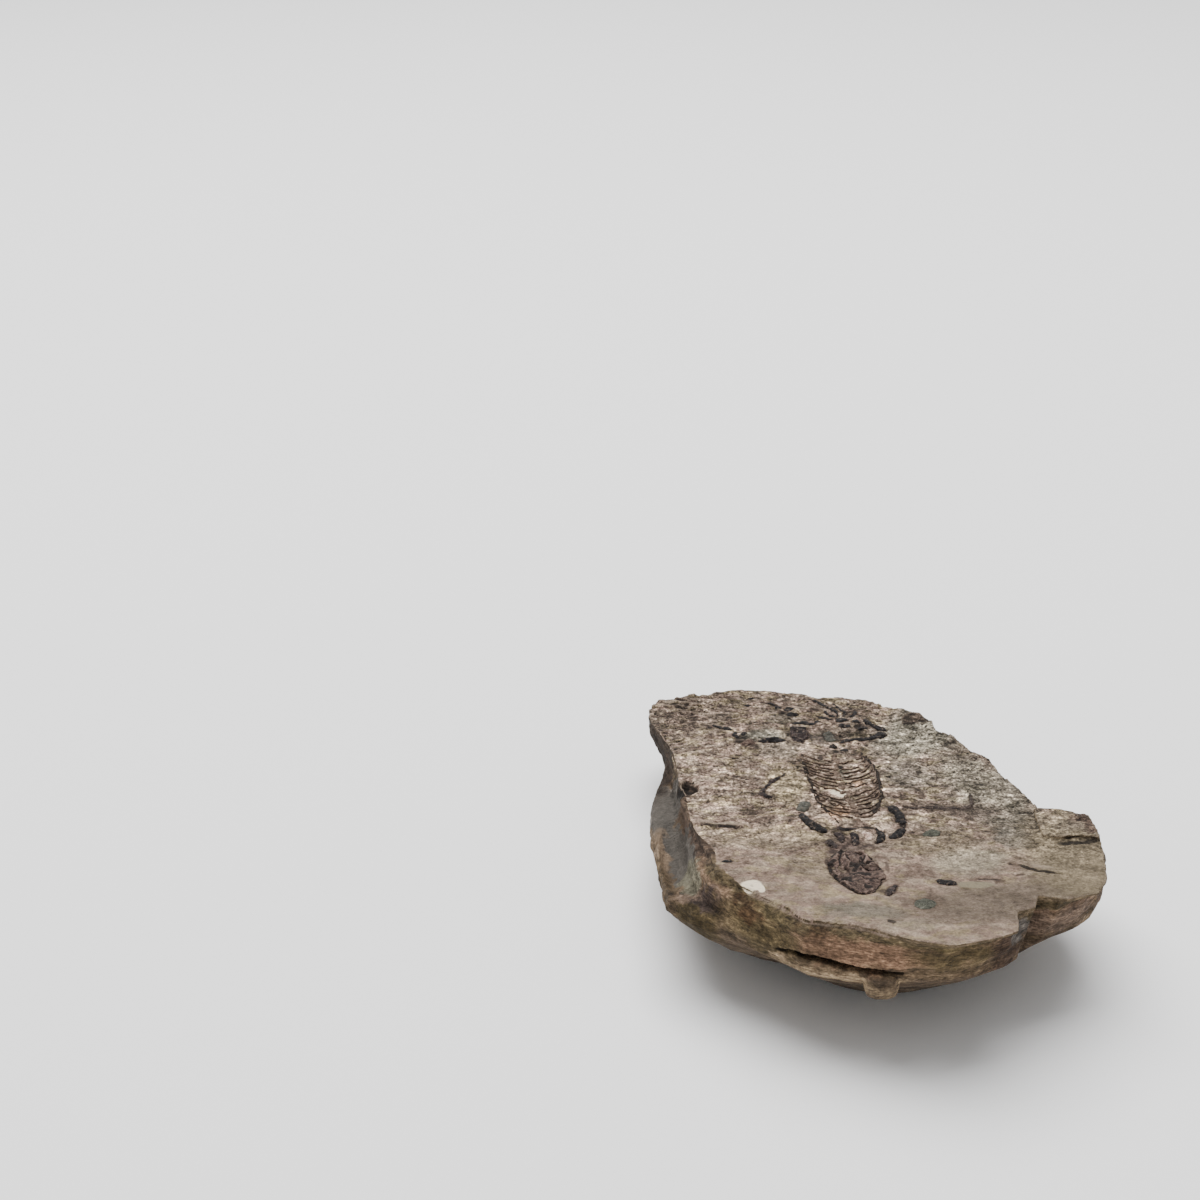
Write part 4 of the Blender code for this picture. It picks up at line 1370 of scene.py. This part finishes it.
    def build(self) -> bpy.types.Object:
        """Model the ribs and the backbone, and dress them.

        Returns:
            The basket.
        """
        basket = self.ribs()
        pick(basket, *self.vertebrae())
        bpy.ops.object.join()
        refine(basket, self.voxel)
        roughen(basket, self.rough)
        x, y, _ = PLAN.drawn(read_points(basket)).T
        dark = np.zeros(len(x))
        for line in self.flank_lines:
            dark = np.maximum(dark, self.dark.at(distance_to_path(x, y, line)[0]))
        write_value(basket, "dark", dark)
        write_value(basket, "cavity", cavity_of(basket, self.HOLLOW_ROUNDS))
        finish_piece(basket, self.finish.material(), Slot.PURPLE, "rib_cage")
        return basket

    def ribs(self) -> bpy.types.Object:
        """Sweep a thin round strand along every path.

        Returns:
            The strands as one mesh.
        """
        curve = bpy.data.curves.new("rib_basket", "CURVE")
        curve.dimensions = "3D"
        curve.bevel_depth = self.radius * MM
        curve.bevel_resolution = 1
        curve.use_fill_caps = True
        for number, path in enumerate(self.rib_paths() + self.flank_paths()):
            spline = curve.splines.new("POLY")
            spline.points.add(len(path) - 1)
            for place, (point, spot) in enumerate(zip(spline.points, PLAN.framed(path))):
                point.co = (*spot, 1.0)
                bead = self.BEAD * math.sin(self.BEADS * place + number)
                point.radius = 1.0 - self.TAPER * place / len(path) + bead
        item = bpy.data.objects.new("rib_basket", curve)
        bpy.context.scene.collection.objects.link(item)
        pick(item)
        bpy.ops.object.convert(target="MESH")
        return bpy.context.object

    def vertebrae(self) -> list[bpy.types.Object]:
        """Set a row of uneven lumps along the backbone.

        Returns:
            The lumps.
        """
        chance = np.random.default_rng(self.BONE_SEED)
        lumps = []
        for y in np.arange(self.backbone[-1][1], self.backbone[0][1], self.LUMP_SPACING):
            x = self.at(self.backbone, y) + chance.uniform(*self.LUMP_SHIFT)
            rise = RELIEF.at(np.array([x]), np.array([y]))[0]
            spot = PLAN.framed(np.array([x, y, PLAN.height(x, y) + rise - self.LUMP_SINK]))
            bpy.ops.mesh.primitive_ico_sphere_add(subdivisions=2, radius=1.0, location=spot)
            lump = bpy.context.object
            lump.scale = (np.array(self.LUMP) * chance.uniform(*self.LUMP_SPREAD, 3) * MM).tolist()
            lump.rotation_euler = (0.0, 0.0, chance.uniform(0.0, math.pi))
            bpy.ops.object.transform_apply(location=True, rotation=True, scale=True)
            lumps.append(lump)
        return lumps


@dataclass
class SplitStone:
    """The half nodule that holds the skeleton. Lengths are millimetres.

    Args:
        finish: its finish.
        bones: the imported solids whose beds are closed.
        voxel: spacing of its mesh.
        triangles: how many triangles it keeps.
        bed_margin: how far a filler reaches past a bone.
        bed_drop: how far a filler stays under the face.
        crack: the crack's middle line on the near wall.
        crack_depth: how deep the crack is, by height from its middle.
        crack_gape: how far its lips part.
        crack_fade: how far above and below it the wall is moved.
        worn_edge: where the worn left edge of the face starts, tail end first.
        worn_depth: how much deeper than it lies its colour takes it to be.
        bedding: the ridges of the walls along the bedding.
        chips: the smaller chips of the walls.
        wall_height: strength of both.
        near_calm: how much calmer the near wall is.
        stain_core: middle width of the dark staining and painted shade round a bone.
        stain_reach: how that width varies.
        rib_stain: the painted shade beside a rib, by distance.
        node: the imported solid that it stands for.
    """

    finish: StoneFinish
    bones: list[str]
    voxel: float = 0.55
    triangles: int = 192_000
    bed_margin: float = 0.42
    bed_drop: float = 0.15
    crack: tuple[Triple, ...] = (
        (-35.0, -77.0, 32.5), (-28.0, -83.0, 33.8), (-17.0, -87.2, 32.9), (-10.5, -89.4, 32.4),
        (1.5, -91.0, 31.8))
    crack_depth: Ramp = Ramp(0.75, 0.25, 5.0)
    crack_gape: float = 0.45
    crack_fade: float = 1.1
    worn_edge: Line = (
        (-57.5, -2.3), (-56.8, -16.7), (-54.0, -25.6), (-51.7, -30.7), (-50.3, -36.4),
        (-50.3, -44.8), (-47.6, -51.0), (-44.4, -57.7), (-42.3, -63.7))
    worn_depth: float = 2.5
    bedding: Grain = Grain(8, (26.0, 26.0, 2.0), 1.0, 3)
    chips: Grain = Grain(9, (6.0, 6.0, 4.0), 1.0, 4)
    wall_height: float = 0.7
    near_calm: Ramp = Ramp(-40.0, -70.0, 0.35)
    stain_core: float = 0.8
    stain_reach: Grain = Grain(41, (2.2, 2.2, 9.0), 0.9, 2)
    rib_stain: Ramp = Ramp(0.95, 0.25)
    node: str = "matrix_slab"

    # The dish under the ribs: margin round them, from and to how far under the face, and its new depth
    DISH_MARGIN, DISH_FLOOR, DISH_TOP, DISH_FILL = 1.5, 4.0, 0.2, 0.15

    # What counts as the face: facing up, and this near to its height
    FACING_UP = Ramp(0.45, 0.8)
    NEAR_FACE = Ramp(4.0, 1.5)

    # The smooth bench on the left: across, along and facing up
    BENCH_ACROSS, BENCH_ALONG, BENCH_UP = Ramp(-57.0, -60.0), Ramp(25.0, 10.0), Ramp(0.3, 0.7)
    BENCH_CALM = 0.8

    # The underside is calmer, the foot of the walls stays put, and the bedding falls towards the tail
    UNDERSIDE = Ramp(-0.3, -0.7, 0.7)
    FOOT = Ramp(0.4, 2.5)
    DIP = 0.1

    # How bluntly the crack ends, how near the wall has to be, and how far tailward it may face
    CRACK_BLUNT, CRACK_NEAR, CRACK_FACING = 0.6, -66.0, 0.4

    # Where the worn edge starts, and how far outwards it ends
    WORN_START, WORN_END = Ramp(0.3, -0.9), Ramp(14.0, 11.0)

    # The staining and painted shade: its margin round the ribs, its depth under the face, how far a bone
    # that darkens the stone may be sunk, one in how many of its points counts, and the least width
    STAIN_MARGIN, STAIN_DEPTH, STAIN_SUNK, STAIN_STRIDE, STAIN_LEAST = 3.0, 3.0, 0.25, 3, 0.2

    # How many times the mesh is smoothed, and its surroundings to find its hollows
    SMOOTHINGS, HOLLOW_ROUNDS = 2, 5

    def build(self, basket: RibBasket, fossils: list[bpy.types.Object]) -> bpy.types.Object:
        """Model the stone and dress it.

        Args:
            basket: the rib basket, whose dish is filled and whose ribs get painted shade beside them on the
                stone.
            fossils: the finished bones, round which the stone gets dark staining and painted shade.

        Returns:
            The stone.
        """
        stone = merged_copy(self.node, "split_stone")
        self.fill_dish(stone, basket)
        fillers = [self.bed_filler(bone) for bone in self.bones]
        pick(stone, *fillers)
        bpy.ops.object.join()
        refine(stone, self.voxel, self.SMOOTHINGS)
        self.add_relief(stone)
        stone.data.calc_loop_triangles()
        share = self.triangles / len(stone.data.loop_triangles)
        apply_modifier(stone, "DECIMATE", ratio=min(share, 1.0))
        self.note_places(stone, basket, fossils)
        finish_piece(stone, self.finish.material(), Slot.STONE, self.node)
        return stone

    def fill_dish(self, stone: bpy.types.Object, basket: RibBasket) -> None:
        """Raise the dish under the rib basket to just under the face.

        Args:
            stone: the stone's mesh.
            basket: the rib basket.
        """
        drawn = PLAN.drawn(read_points(stone))
        x, y, z = drawn.T
        face = PLAN.height(x, y)
        sunk = (z > face - self.DISH_FLOOR) & (z < face - self.DISH_TOP)
        inside = basket.covers(x, y, self.DISH_MARGIN) & sunk
        drawn[:, 2] = np.where(inside, face - self.DISH_FILL, z)
        write_points(stone, PLAN.framed(drawn))

    def bed_filler(self, bone: str) -> bpy.types.Object:
        """Copy a bone a little fatter and cut down to the face, to close its bed.

        Args:
            bone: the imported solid.

        Returns:
            The filler.
        """
        filler = merged_copy(bone, bone + "_filler")
        grown = read_points(filler) + read_normals(filler) * self.bed_margin * MM
        drawn = PLAN.drawn(grown)
        top = PLAN.height(drawn[:, 0], drawn[:, 1]) - self.bed_drop
        drawn[:, 2] = np.minimum(drawn[:, 2], top)
        write_points(filler, PLAN.framed(drawn))
        return filler

    def add_relief(self, stone: bpy.types.Object) -> None:
        """Roughen the face, the walls and the underside, each in its own way.

        Args:
            stone: the stone's mesh.
        """
        drawn, normals = PLAN.drawn(read_points(stone)), read_normals(stone)
        x, y, z = drawn.T
        facing = normals[:, 2]
        up = self.FACING_UP.at(facing) * self.NEAR_FACE.at(PLAN.height(x, y) - z)
        bench = self.BENCH_ACROSS.at(x) * self.BENCH_ALONG.at(y) * self.BENCH_UP.at(facing)
        bedding = self.bedding.at(np.stack([x, y, z + self.DIP * y], 1))
        wall = (self.wall_height - self.near_calm.at(y)) * (bedding + self.chips.at(drawn))
        wall = wall * (1.0 - self.UNDERSIDE.at(facing)) * (1.0 - self.BENCH_CALM * bench)
        moved = drawn + normals * (wall * (1.0 - up) * self.FOOT.at(z))[:, None]
        moved[:, 2] += RELIEF.at(x, y) * up
        moved += self.open_crack(drawn, normals)
        moved[:, 2] = np.maximum(moved[:, 2], 0.0)
        write_points(stone, PLAN.framed(moved))

    def open_crack(self, drawn: np.ndarray, normals: np.ndarray) -> np.ndarray:
        """Part the wall along the crack, and push its middle in.

        Args:
            drawn: points in drawing millimetres.
            normals: which way the stone faces there.

        Returns:
            How far each point moves, in millimetres.
        """
        line = np.array(self.crack)
        x, y, z = drawn.T
        share = (x - line[0, 0]) / (line[-1, 0] - line[0, 0])
        wide = np.sin(np.pi * np.clip(share, 0.0, 1.0)) ** self.CRACK_BLUNT
        facing = (y < self.CRACK_NEAR) & (normals[:, 1] < self.CRACK_FACING)
        wide = wide * (facing & (share > 0.0) & (share < 1.0))
        above = z - np.interp(x, line[:, 0], line[:, 2])
        moved = np.zeros_like(drawn)
        moved[:, 2] = self.crack_gape * np.sign(above) * np.exp(-(above / self.crack_fade) ** 2) * wide
        moved[:, 1] = self.crack_depth.at(np.abs(above)) * wide
        return moved

    def note_places(self, stone: bpy.types.Object, basket: RibBasket,
                    fossils: list[bpy.types.Object]) -> None:
        """Store each point's depth below the face, its steepness, its hollowness, and the dark staining and
        painted shade round the bones and ribs.

        Args:
            stone: the stone's mesh.
            basket: the rib basket.
            fossils: the finished bones.
        """
        drawn, normals = PLAN.drawn(read_points(stone)), read_normals(stone)
        x, y, z = drawn.T
        away, inward = distance_to_path(x, y, self.worn_edge)
        worn = self.WORN_START.at(inward) * self.WORN_END.at(away)
        write_value(stone, "depth", PLAN.height(x, y) - z + self.worn_depth * worn)
        write_value(stone, "side", 1.0 - normals[:, 2])
        write_value(stone, "cavity", cavity_of(stone, self.HOLLOW_ROUNDS))
        stain = np.zeros(len(x))
        shallow = z > PLAN.height(x, y) - self.STAIN_DEPTH
        close = np.flatnonzero(basket.covers(x, y, self.STAIN_MARGIN) & shallow)
        # Painted shade on the stone beside each rib
        for path in basket.rib_paths():
            away, _ = distance_to_path(x[close], y[close], path[:, :2])
            stain[close] = np.maximum(stain[close], self.rib_stain.at(away))
        # Dark staining and painted shade round each bone that shows above the face
        tree = self.stained_by(fossils)
        points, reach = read_points(stone), self.stain_core + self.stain_reach.at(drawn)
        for number in np.flatnonzero(shallow):
            away = tree.find(points[number])[2] / MM
            stain[number] = max(stain[number], 1.0 - away / max(reach[number], self.STAIN_LEAST))
        write_value(stone, "stain", stain)

    def stained_by(self, fossils: list[bpy.types.Object]) -> KDTree:
        """Gather the points of the bones that show above the face.

        Args:
            fossils: the finished bones.

        Returns:
            The points in the frame, ready to be searched.
        """
        spots = np.concatenate([read_points(fossil)[::self.STAIN_STRIDE] for fossil in fossils])
        shown = PLAN.drawn(spots)
        level = PLAN.height(shown[:, 0], shown[:, 1]) + RELIEF.at(shown[:, 0], shown[:, 1])
        spots = spots[shown[:, 2] > level - self.STAIN_SUNK]
        tree = KDTree(len(spots))
        for number, spot in enumerate(spots):
            tree.insert(spot, number)
        tree.balance()
        return tree


@dataclass
class Skeleton:
    """Every bone and loose bit on the face. Lengths are millimetres.

    Args:
        finishes: the finish of each slot.
        special: finishes of single bones, by node.
        voxel: spacing of the bones' mesh.
        swell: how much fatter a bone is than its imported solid, all round.
        fat: the same for single bones, by node.
        height: how far it stands up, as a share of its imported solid.
        sink: how far it is then sunk.
        lumps: how a bone swells and shrinks.
        lumpy: how far single bones do so, by node.
        rough: the finer noise on a bone.
        own_pieces: nodes that other classes build.
        materials: the materials made so far, by finish name.
    """

    finishes: dict[Slot, BoneFinish]
    special: dict[str, BoneFinish]
    voxel: float = 0.24
    swell: float = 0.16
    fat: dict[str, float] = field(default_factory=lambda: {
        "left_forearm": 0.8, "right_thigh_bone": 0.3, "right_shin_bone": 0.3, "right_upper_arm": 0.35,
        "right_forearm": 0.3, "right_hand": -0.05, "left_hand": -0.04})
    height: float = 0.65
    sink: float = 0.15
    lumps: Grain = Grain(21, (2.4, 2.4, 2.4), 0.6)
    lumpy: dict[str, float] = field(default_factory=lambda: {"left_hip_bone": 1.5, "neck_bones": 1.0})
    rough: Grain = Grain(22, (0.9, 0.9, 0.9), 0.26)
    own_pieces: tuple[str, ...] = ("rib_cage", "skull")
    materials: dict[str, bpy.types.Material] = field(default_factory=dict)

    # How many times a bone is smoothed, and its surroundings to find its hollows
    SMOOTHINGS, HOLLOW_ROUNDS = 2, 6

    def build(self) -> list[bpy.types.Object]:
        """Model and dress every bone that has no class of its own.

        Returns:
            The bones.
        """
        bones = []
        for part in frame["record"]["subparts"]:
            slot = Slot(part["material_slot"])
            if slot in self.finishes and part["node"] not in self.own_pieces:
                bones.append(self.build_bone(part["node"], slot))
        return bones

    def build_bone(self, node: str, slot: Slot) -> bpy.types.Object:
        """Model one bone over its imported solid.

        Args:
            node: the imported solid.
            slot: its material slot.

        Returns:
            The bone.
        """
        bone = merged_copy(node, node + "_fossil")
        refine(bone, self.voxel, self.SMOOTHINGS)
        roughen(bone, replace(self.lumps, height=self.lumpy.get(node, self.lumps.height)))
        roughen(bone, self.rough)
        grown = read_points(bone) + read_normals(bone) * self.fat.get(node, self.swell) * MM
        drawn = PLAN.drawn(grown)
        flatten(drawn, self.height)
        drawn[:, 2] += RELIEF.at(drawn[:, 0], drawn[:, 1]) - self.sink
        write_points(bone, PLAN.framed(drawn))
        write_value(bone, "cavity", cavity_of(bone, self.HOLLOW_ROUNDS))
        finish = self.special.get(node, self.finishes[slot])
        if finish.name not in self.materials:
            self.materials[finish.name] = finish.material()
        finish_piece(bone, self.materials[finish.name], slot, node)
        return bone


@dataclass
class Skull:
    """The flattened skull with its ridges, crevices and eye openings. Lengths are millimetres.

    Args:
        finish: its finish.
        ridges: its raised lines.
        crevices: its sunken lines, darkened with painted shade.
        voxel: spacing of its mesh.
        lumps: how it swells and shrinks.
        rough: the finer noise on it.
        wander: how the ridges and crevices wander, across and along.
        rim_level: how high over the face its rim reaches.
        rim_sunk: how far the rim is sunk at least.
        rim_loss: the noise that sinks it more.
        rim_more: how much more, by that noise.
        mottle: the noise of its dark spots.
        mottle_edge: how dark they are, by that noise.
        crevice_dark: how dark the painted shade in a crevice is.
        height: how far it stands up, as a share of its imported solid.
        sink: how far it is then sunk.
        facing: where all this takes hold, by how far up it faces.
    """

    finish: BoneFinish
    ridges: tuple[Stroke, ...] = (
        Stroke(((-12.9, -35.0), (-11.9, -40.6), (-11.3, -46.0), (-10.3, -50.0)), 0.8, 0.8),
        Stroke(((-16.6, -45.5), (-16.0, -50.0), (-14.6, -55.0), (-12.2, -60.5)), 0.6, 0.7),
        Stroke(((-5.6, -47.4), (-3.0, -47.0), (-0.6, -47.2)), 0.7, 0.7),
        Stroke(((-8.6, -47.6), (-6.2, -49.6), (-3.6, -51.4)), 0.5, 0.8),
        Stroke(((-6.4, -37.0), (-5.0, -40.0), (-5.4, -44.4)), 0.8, 0.9),
    )
    crevices: tuple[Stroke, ...] = (
        Stroke(((-17.4, -44.8), (-17.0, -48.8), (-15.6, -53.0), (-14.2, -57.0), (-12.4, -61.7)), 0.45, 0.8),
        Stroke(((-12.0, -61.9), (-9.8, -64.8), (-6.4, -65.4)), 0.35, 0.8),
        Stroke(((-5.8, -45.8), (-3.0, -45.6), (-0.4, -46.0)), 0.9, 0.6),
        Stroke(((-10.4, -44.6), (-10.8, -41.6), (-9.4, -39.4), (-7.0, -39.0)), 0.6, 0.5),
        Stroke(((-5.6, -42.0), (-6.6, -45.0), (-8.8, -46.0)), 0.5, 0.5),
        Stroke(((-12.4, -38.0), (-13.4, -42.0), (-13.6, -46.4), (-12.4, -50.6)), 0.8, 0.6),
        Stroke(((-4.2, -37.6), (-3.4, -40.0), (-3.8, -42.6)), 0.8, 0.9),
        Stroke(((-8.0, -46.8), (-5.4, -48.6)), 0.5, 0.5),
        Stroke(((-10.8, -53.0), (-7.0, -55.6), (-3.4, -55.0)), 0.35, 0.5),
    )
    voxel: float = 0.22
    lumps: Grain = Grain(31, (5.0, 5.0, 5.0), 1.2)
    rough: Grain = Grain(32, (2.2, 2.2, 2.2), 0.9)
    wander: tuple[Grain, Grain] = (Grain(34, (3.4, 3.4, 9.0), 1.1, 2), Grain(35, (3.4, 3.4, 9.0), 1.1, 2))
    rim_level: Ramp = Ramp(1.1, 0.2)
    rim_sunk: float = 0.3
    rim_loss: Grain = Grain(36, (4.2, 3.6, 9.0))
    rim_more: Ramp = Ramp(-0.1, 0.4, 1.5)
    mottle: Grain = Grain(33, (3.2, 2.4, 6.0))
    mottle_edge: Ramp = Ramp(0.02, 0.26, 0.8)
    crevice_dark: float = 0.6
    height: float = 0.6
    sink: float = 0.08
    facing: Ramp = Ramp(-0.1, 0.5)

    # How many times it is smoothed, and its surroundings to find its hollows
    SMOOTHINGS, HOLLOW_ROUNDS = 4, 12

    def build(self) -> bpy.types.Object:
        """Model the skull and dress it.

        Returns:
            The skull.
        """
        skull = merged_copy("skull", "skull_fossil")
        refine(skull, self.voxel, self.SMOOTHINGS)
        roughen(skull, self.lumps)
        roughen(skull, self.rough)
        drawn, normals = PLAN.drawn(read_points(skull)), read_normals(skull)
        x = drawn[:, 0] + self.wander[0].at(drawn)
        y = drawn[:, 1] + self.wander[1].at(drawn)
        above = drawn[:, 2] - PLAN.height(drawn[:, 0], drawn[:, 1])
        rim = self.rim_sunk + self.rim_more.at(self.rim_loss.at(drawn))
        rise = -rim * self.rim_level.at(above)
        dark = self.mottle_edge.at(self.mottle.at(drawn))
        for path, height, breadth in self.ridges:
            away, _ = distance_to_path(x, y, path)
            rise += height * np.exp(-(away / breadth) ** 2)
        for path, height, breadth in self.crevices:
            away, _ = distance_to_path(x, y, path)
            sunk = np.exp(-(away / breadth) ** 2)
            rise -= height * sunk
            # Painted shade along the crevices, kept with the dark spots in one value
            dark = np.maximum(dark, self.crevice_dark * sunk)
        flatten(drawn, self.height)
        drawn[:, 2] += (rise - self.sink) * self.facing.at(normals[:, 2])
        drawn[:, 2] += RELIEF.at(drawn[:, 0], drawn[:, 1])
        write_points(skull, PLAN.framed(drawn))
        write_value(skull, "cavity", cavity_of(skull, self.HOLLOW_ROUNDS))
        write_value(skull, "dark", dark)
        finish_piece(skull, self.finish.material(), Slot.PURPLE, "skull")
        return skull


@dataclass(frozen=True)
class Studio:
    """Pale floor, soft light and the camera.

    Args:
        eye: the camera's place.
        pitch: how far it looks down, in degrees.
        lens: focal length.
        sensor: width of its sensor.
        sight: nearest and farthest that it sees.
        floor_size: side of the floor.
        floor_drop: how far the floor lies under the stone.
        floor_colour: its colour.
        floor_roughness: how matt it is.
        lamp_place: place of the lamp, high up behind the stone and to its left.
        lamp_size: its side.
        lamp: its power, in watts.
        sky: strength of the white surroundings.
    """

    eye: Triple = (-0.0861, -0.64065, 0.406)
    pitch: float = 25.0
    lens: float = 68.64
    sensor: float = 36.0
    sight: Span = (0.01, 50.0)
    floor_size: float = 12.0
    floor_drop: float = 0.0001
    floor_colour: Colour = (0.92, 0.92, 0.92)
    floor_roughness: float = 0.9
    lamp_place: Triple = (-0.3, 0.65, 2.1)
    lamp_size: float = 2.2
    lamp: float = 108.0
    sky: float = 0.55

    def build(self) -> None:
        """Set up the camera, the floor, the lamp and the surroundings."""
        self.add_camera()
        self.add_floor()
        self.add_light()

    def add_camera(self) -> None:
        """Place the camera."""
        turn = (math.radians(90.0 - self.pitch), 0.0, 0.0)
        bpy.ops.object.camera_add(location=self.eye, rotation=turn)
        camera = bpy.context.object
        camera.name = "camera"
        camera.data.sensor_width = self.sensor
        camera.data.lens = self.lens
        camera.data.clip_start, camera.data.clip_end = self.sight
        bpy.context.scene.camera = camera

    def add_floor(self) -> None:
        """Lay a wide pale floor under the stone."""
        bpy.ops.mesh.primitive_plane_add(size=self.floor_size, location=(0.0, 0.0, -self.floor_drop))
        floor = bpy.context.object
        floor.name = "floor"
        made = bpy.data.materials.new("pale_floor")
        made.use_nodes = True
        shader = made.node_tree.nodes["Principled BSDF"]
        shader.inputs["Base Color"].default_value = (*self.floor_colour, 1.0)
        shader.inputs["Roughness"].default_value = self.floor_roughness
        floor.data.materials.append(made)

    def add_light(self) -> None:
        """Hang a broad lamp that points at the stone, in white surroundings."""
        bpy.ops.object.light_add(type="AREA", location=self.lamp_place)
        lamp = bpy.context.object
        lamp.name = "lamp"
        lamp.data.energy = self.lamp
        lamp.data.size = self.lamp_size
        lamp.rotation_euler = (Vector((0.0, 0.0, 0.0)) - lamp.location).to_track_quat("-Z", "Y").to_euler()
        world = bpy.data.worlds.new("white_room")
        world.use_nodes = True
        backdrop = world.node_tree.nodes["Background"]
        backdrop.inputs["Color"].default_value = (1.0, 1.0, 1.0, 1.0)
        backdrop.inputs["Strength"].default_value = self.sky
        bpy.context.scene.world = world


def slot_finishes(effects: Effects) -> dict[Slot, BoneFinish]:
    """Mix the finish that goes with each slot.

    Args:
        effects: the shared node groups.

    Returns:
        The finishes by slot.
    """
    return {
        Slot.BLACK: BoneFinish(effects, "black_bone_finish", (0.008, 0.007, 0.007), (0.016, 0.014, 0.014),
                               (0.026, 0.023, 0.024), hollow=(0.005, 0.004, 0.004), crust=0.5),
        Slot.PURPLE: BoneFinish(effects, "purple_bone_finish", (0.050, 0.032, 0.026), (0.110, 0.074, 0.058),
                                (0.165, 0.115, 0.088), roughness=0.65),
        Slot.GREY: BoneFinish(effects, "grey_bone_finish", (0.042, 0.041, 0.035), (0.078, 0.075, 0.062),
                              (0.12, 0.115, 0.095), roughness=0.6, crust=0.4),
        Slot.PALE: BoneFinish(effects, "pale_bone_finish", (0.38, 0.25, 0.20), (0.60, 0.46, 0.38),
                              (0.80, 0.66, 0.56), hollow=(0.10, 0.07, 0.055), roughness=0.6, crust=0.0),
        Slot.GREEN: BoneFinish(effects, "green_stone_finish", (0.068, 0.069, 0.053), (0.105, 0.105, 0.082),
                               (0.15, 0.15, 0.12), roughness=0.6, crust=0.3),
    }


def special_finishes(effects: Effects, black: BoneFinish) -> dict[str, BoneFinish]:
    """Mix the finishes of single bones.

    Args:
        effects: the shared node groups.
        black: the finish of the black slot.

    Returns:
        The finishes by node.
    """
    hip = BoneFinish(effects, "dark_hip_finish", (0.014, 0.011, 0.011), (0.036, 0.026, 0.024),
                     (0.090, 0.064, 0.056), crust=0.8)
    faint = BoneFinish(effects, "faint_bone_finish", (0.030, 0.022, 0.019), (0.060, 0.045, 0.038),
                       (0.090, 0.070, 0.058), crust=1.0)
    pebble = BoneFinish(effects, "pebble_finish", (0.058, 0.059, 0.045), (0.084, 0.085, 0.066),
                        (0.115, 0.115, 0.092), roughness=0.6, crust=0.0)
    dark = ("left_hip_bone", "jaw_fragment", "collar_bone", "breast_bone", "neck_bones", "left_shoulder_bone",
            "left_hand")
    return {"right_hand": faint, "nodule_1": pebble, "nodule_2": pebble, "nodule_3": black,
            **dict.fromkeys(dark, hip)}


def main() -> None:
    """Build the studio, the bones and the stone in order."""
    logging.basicConfig(level=logging.INFO, format="%(message)s")
    Studio().build()
    effects = Effects()
    finishes = slot_finishes(effects)
    skull = BoneFinish(effects, "skull_finish", (0.056, 0.037, 0.031), (0.115, 0.078, 0.063),
                       (0.21, 0.15, 0.118), roughness=0.6, crust=0.5)
    ribs = BoneFinish(effects, "rib_finish", (0.085, 0.058, 0.043), (0.150, 0.106, 0.079), (0.28, 0.20, 0.14),
                      dust=(0.24, 0.18, 0.135), roughness=0.7)
    fossils = Skeleton(finishes, special_finishes(effects, finishes[Slot.BLACK])).build()
    fossils.append(Skull(skull).build())
    basket = RibBasket(ribs)
    basket.build()
    bones = [part["node"] for part in frame["record"]["subparts"] if part["node"] != "matrix_slab"]
    SplitStone(StoneFinish(effects), bones).build(basket, fossils)
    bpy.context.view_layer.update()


if __name__ == "__main__":
    main()
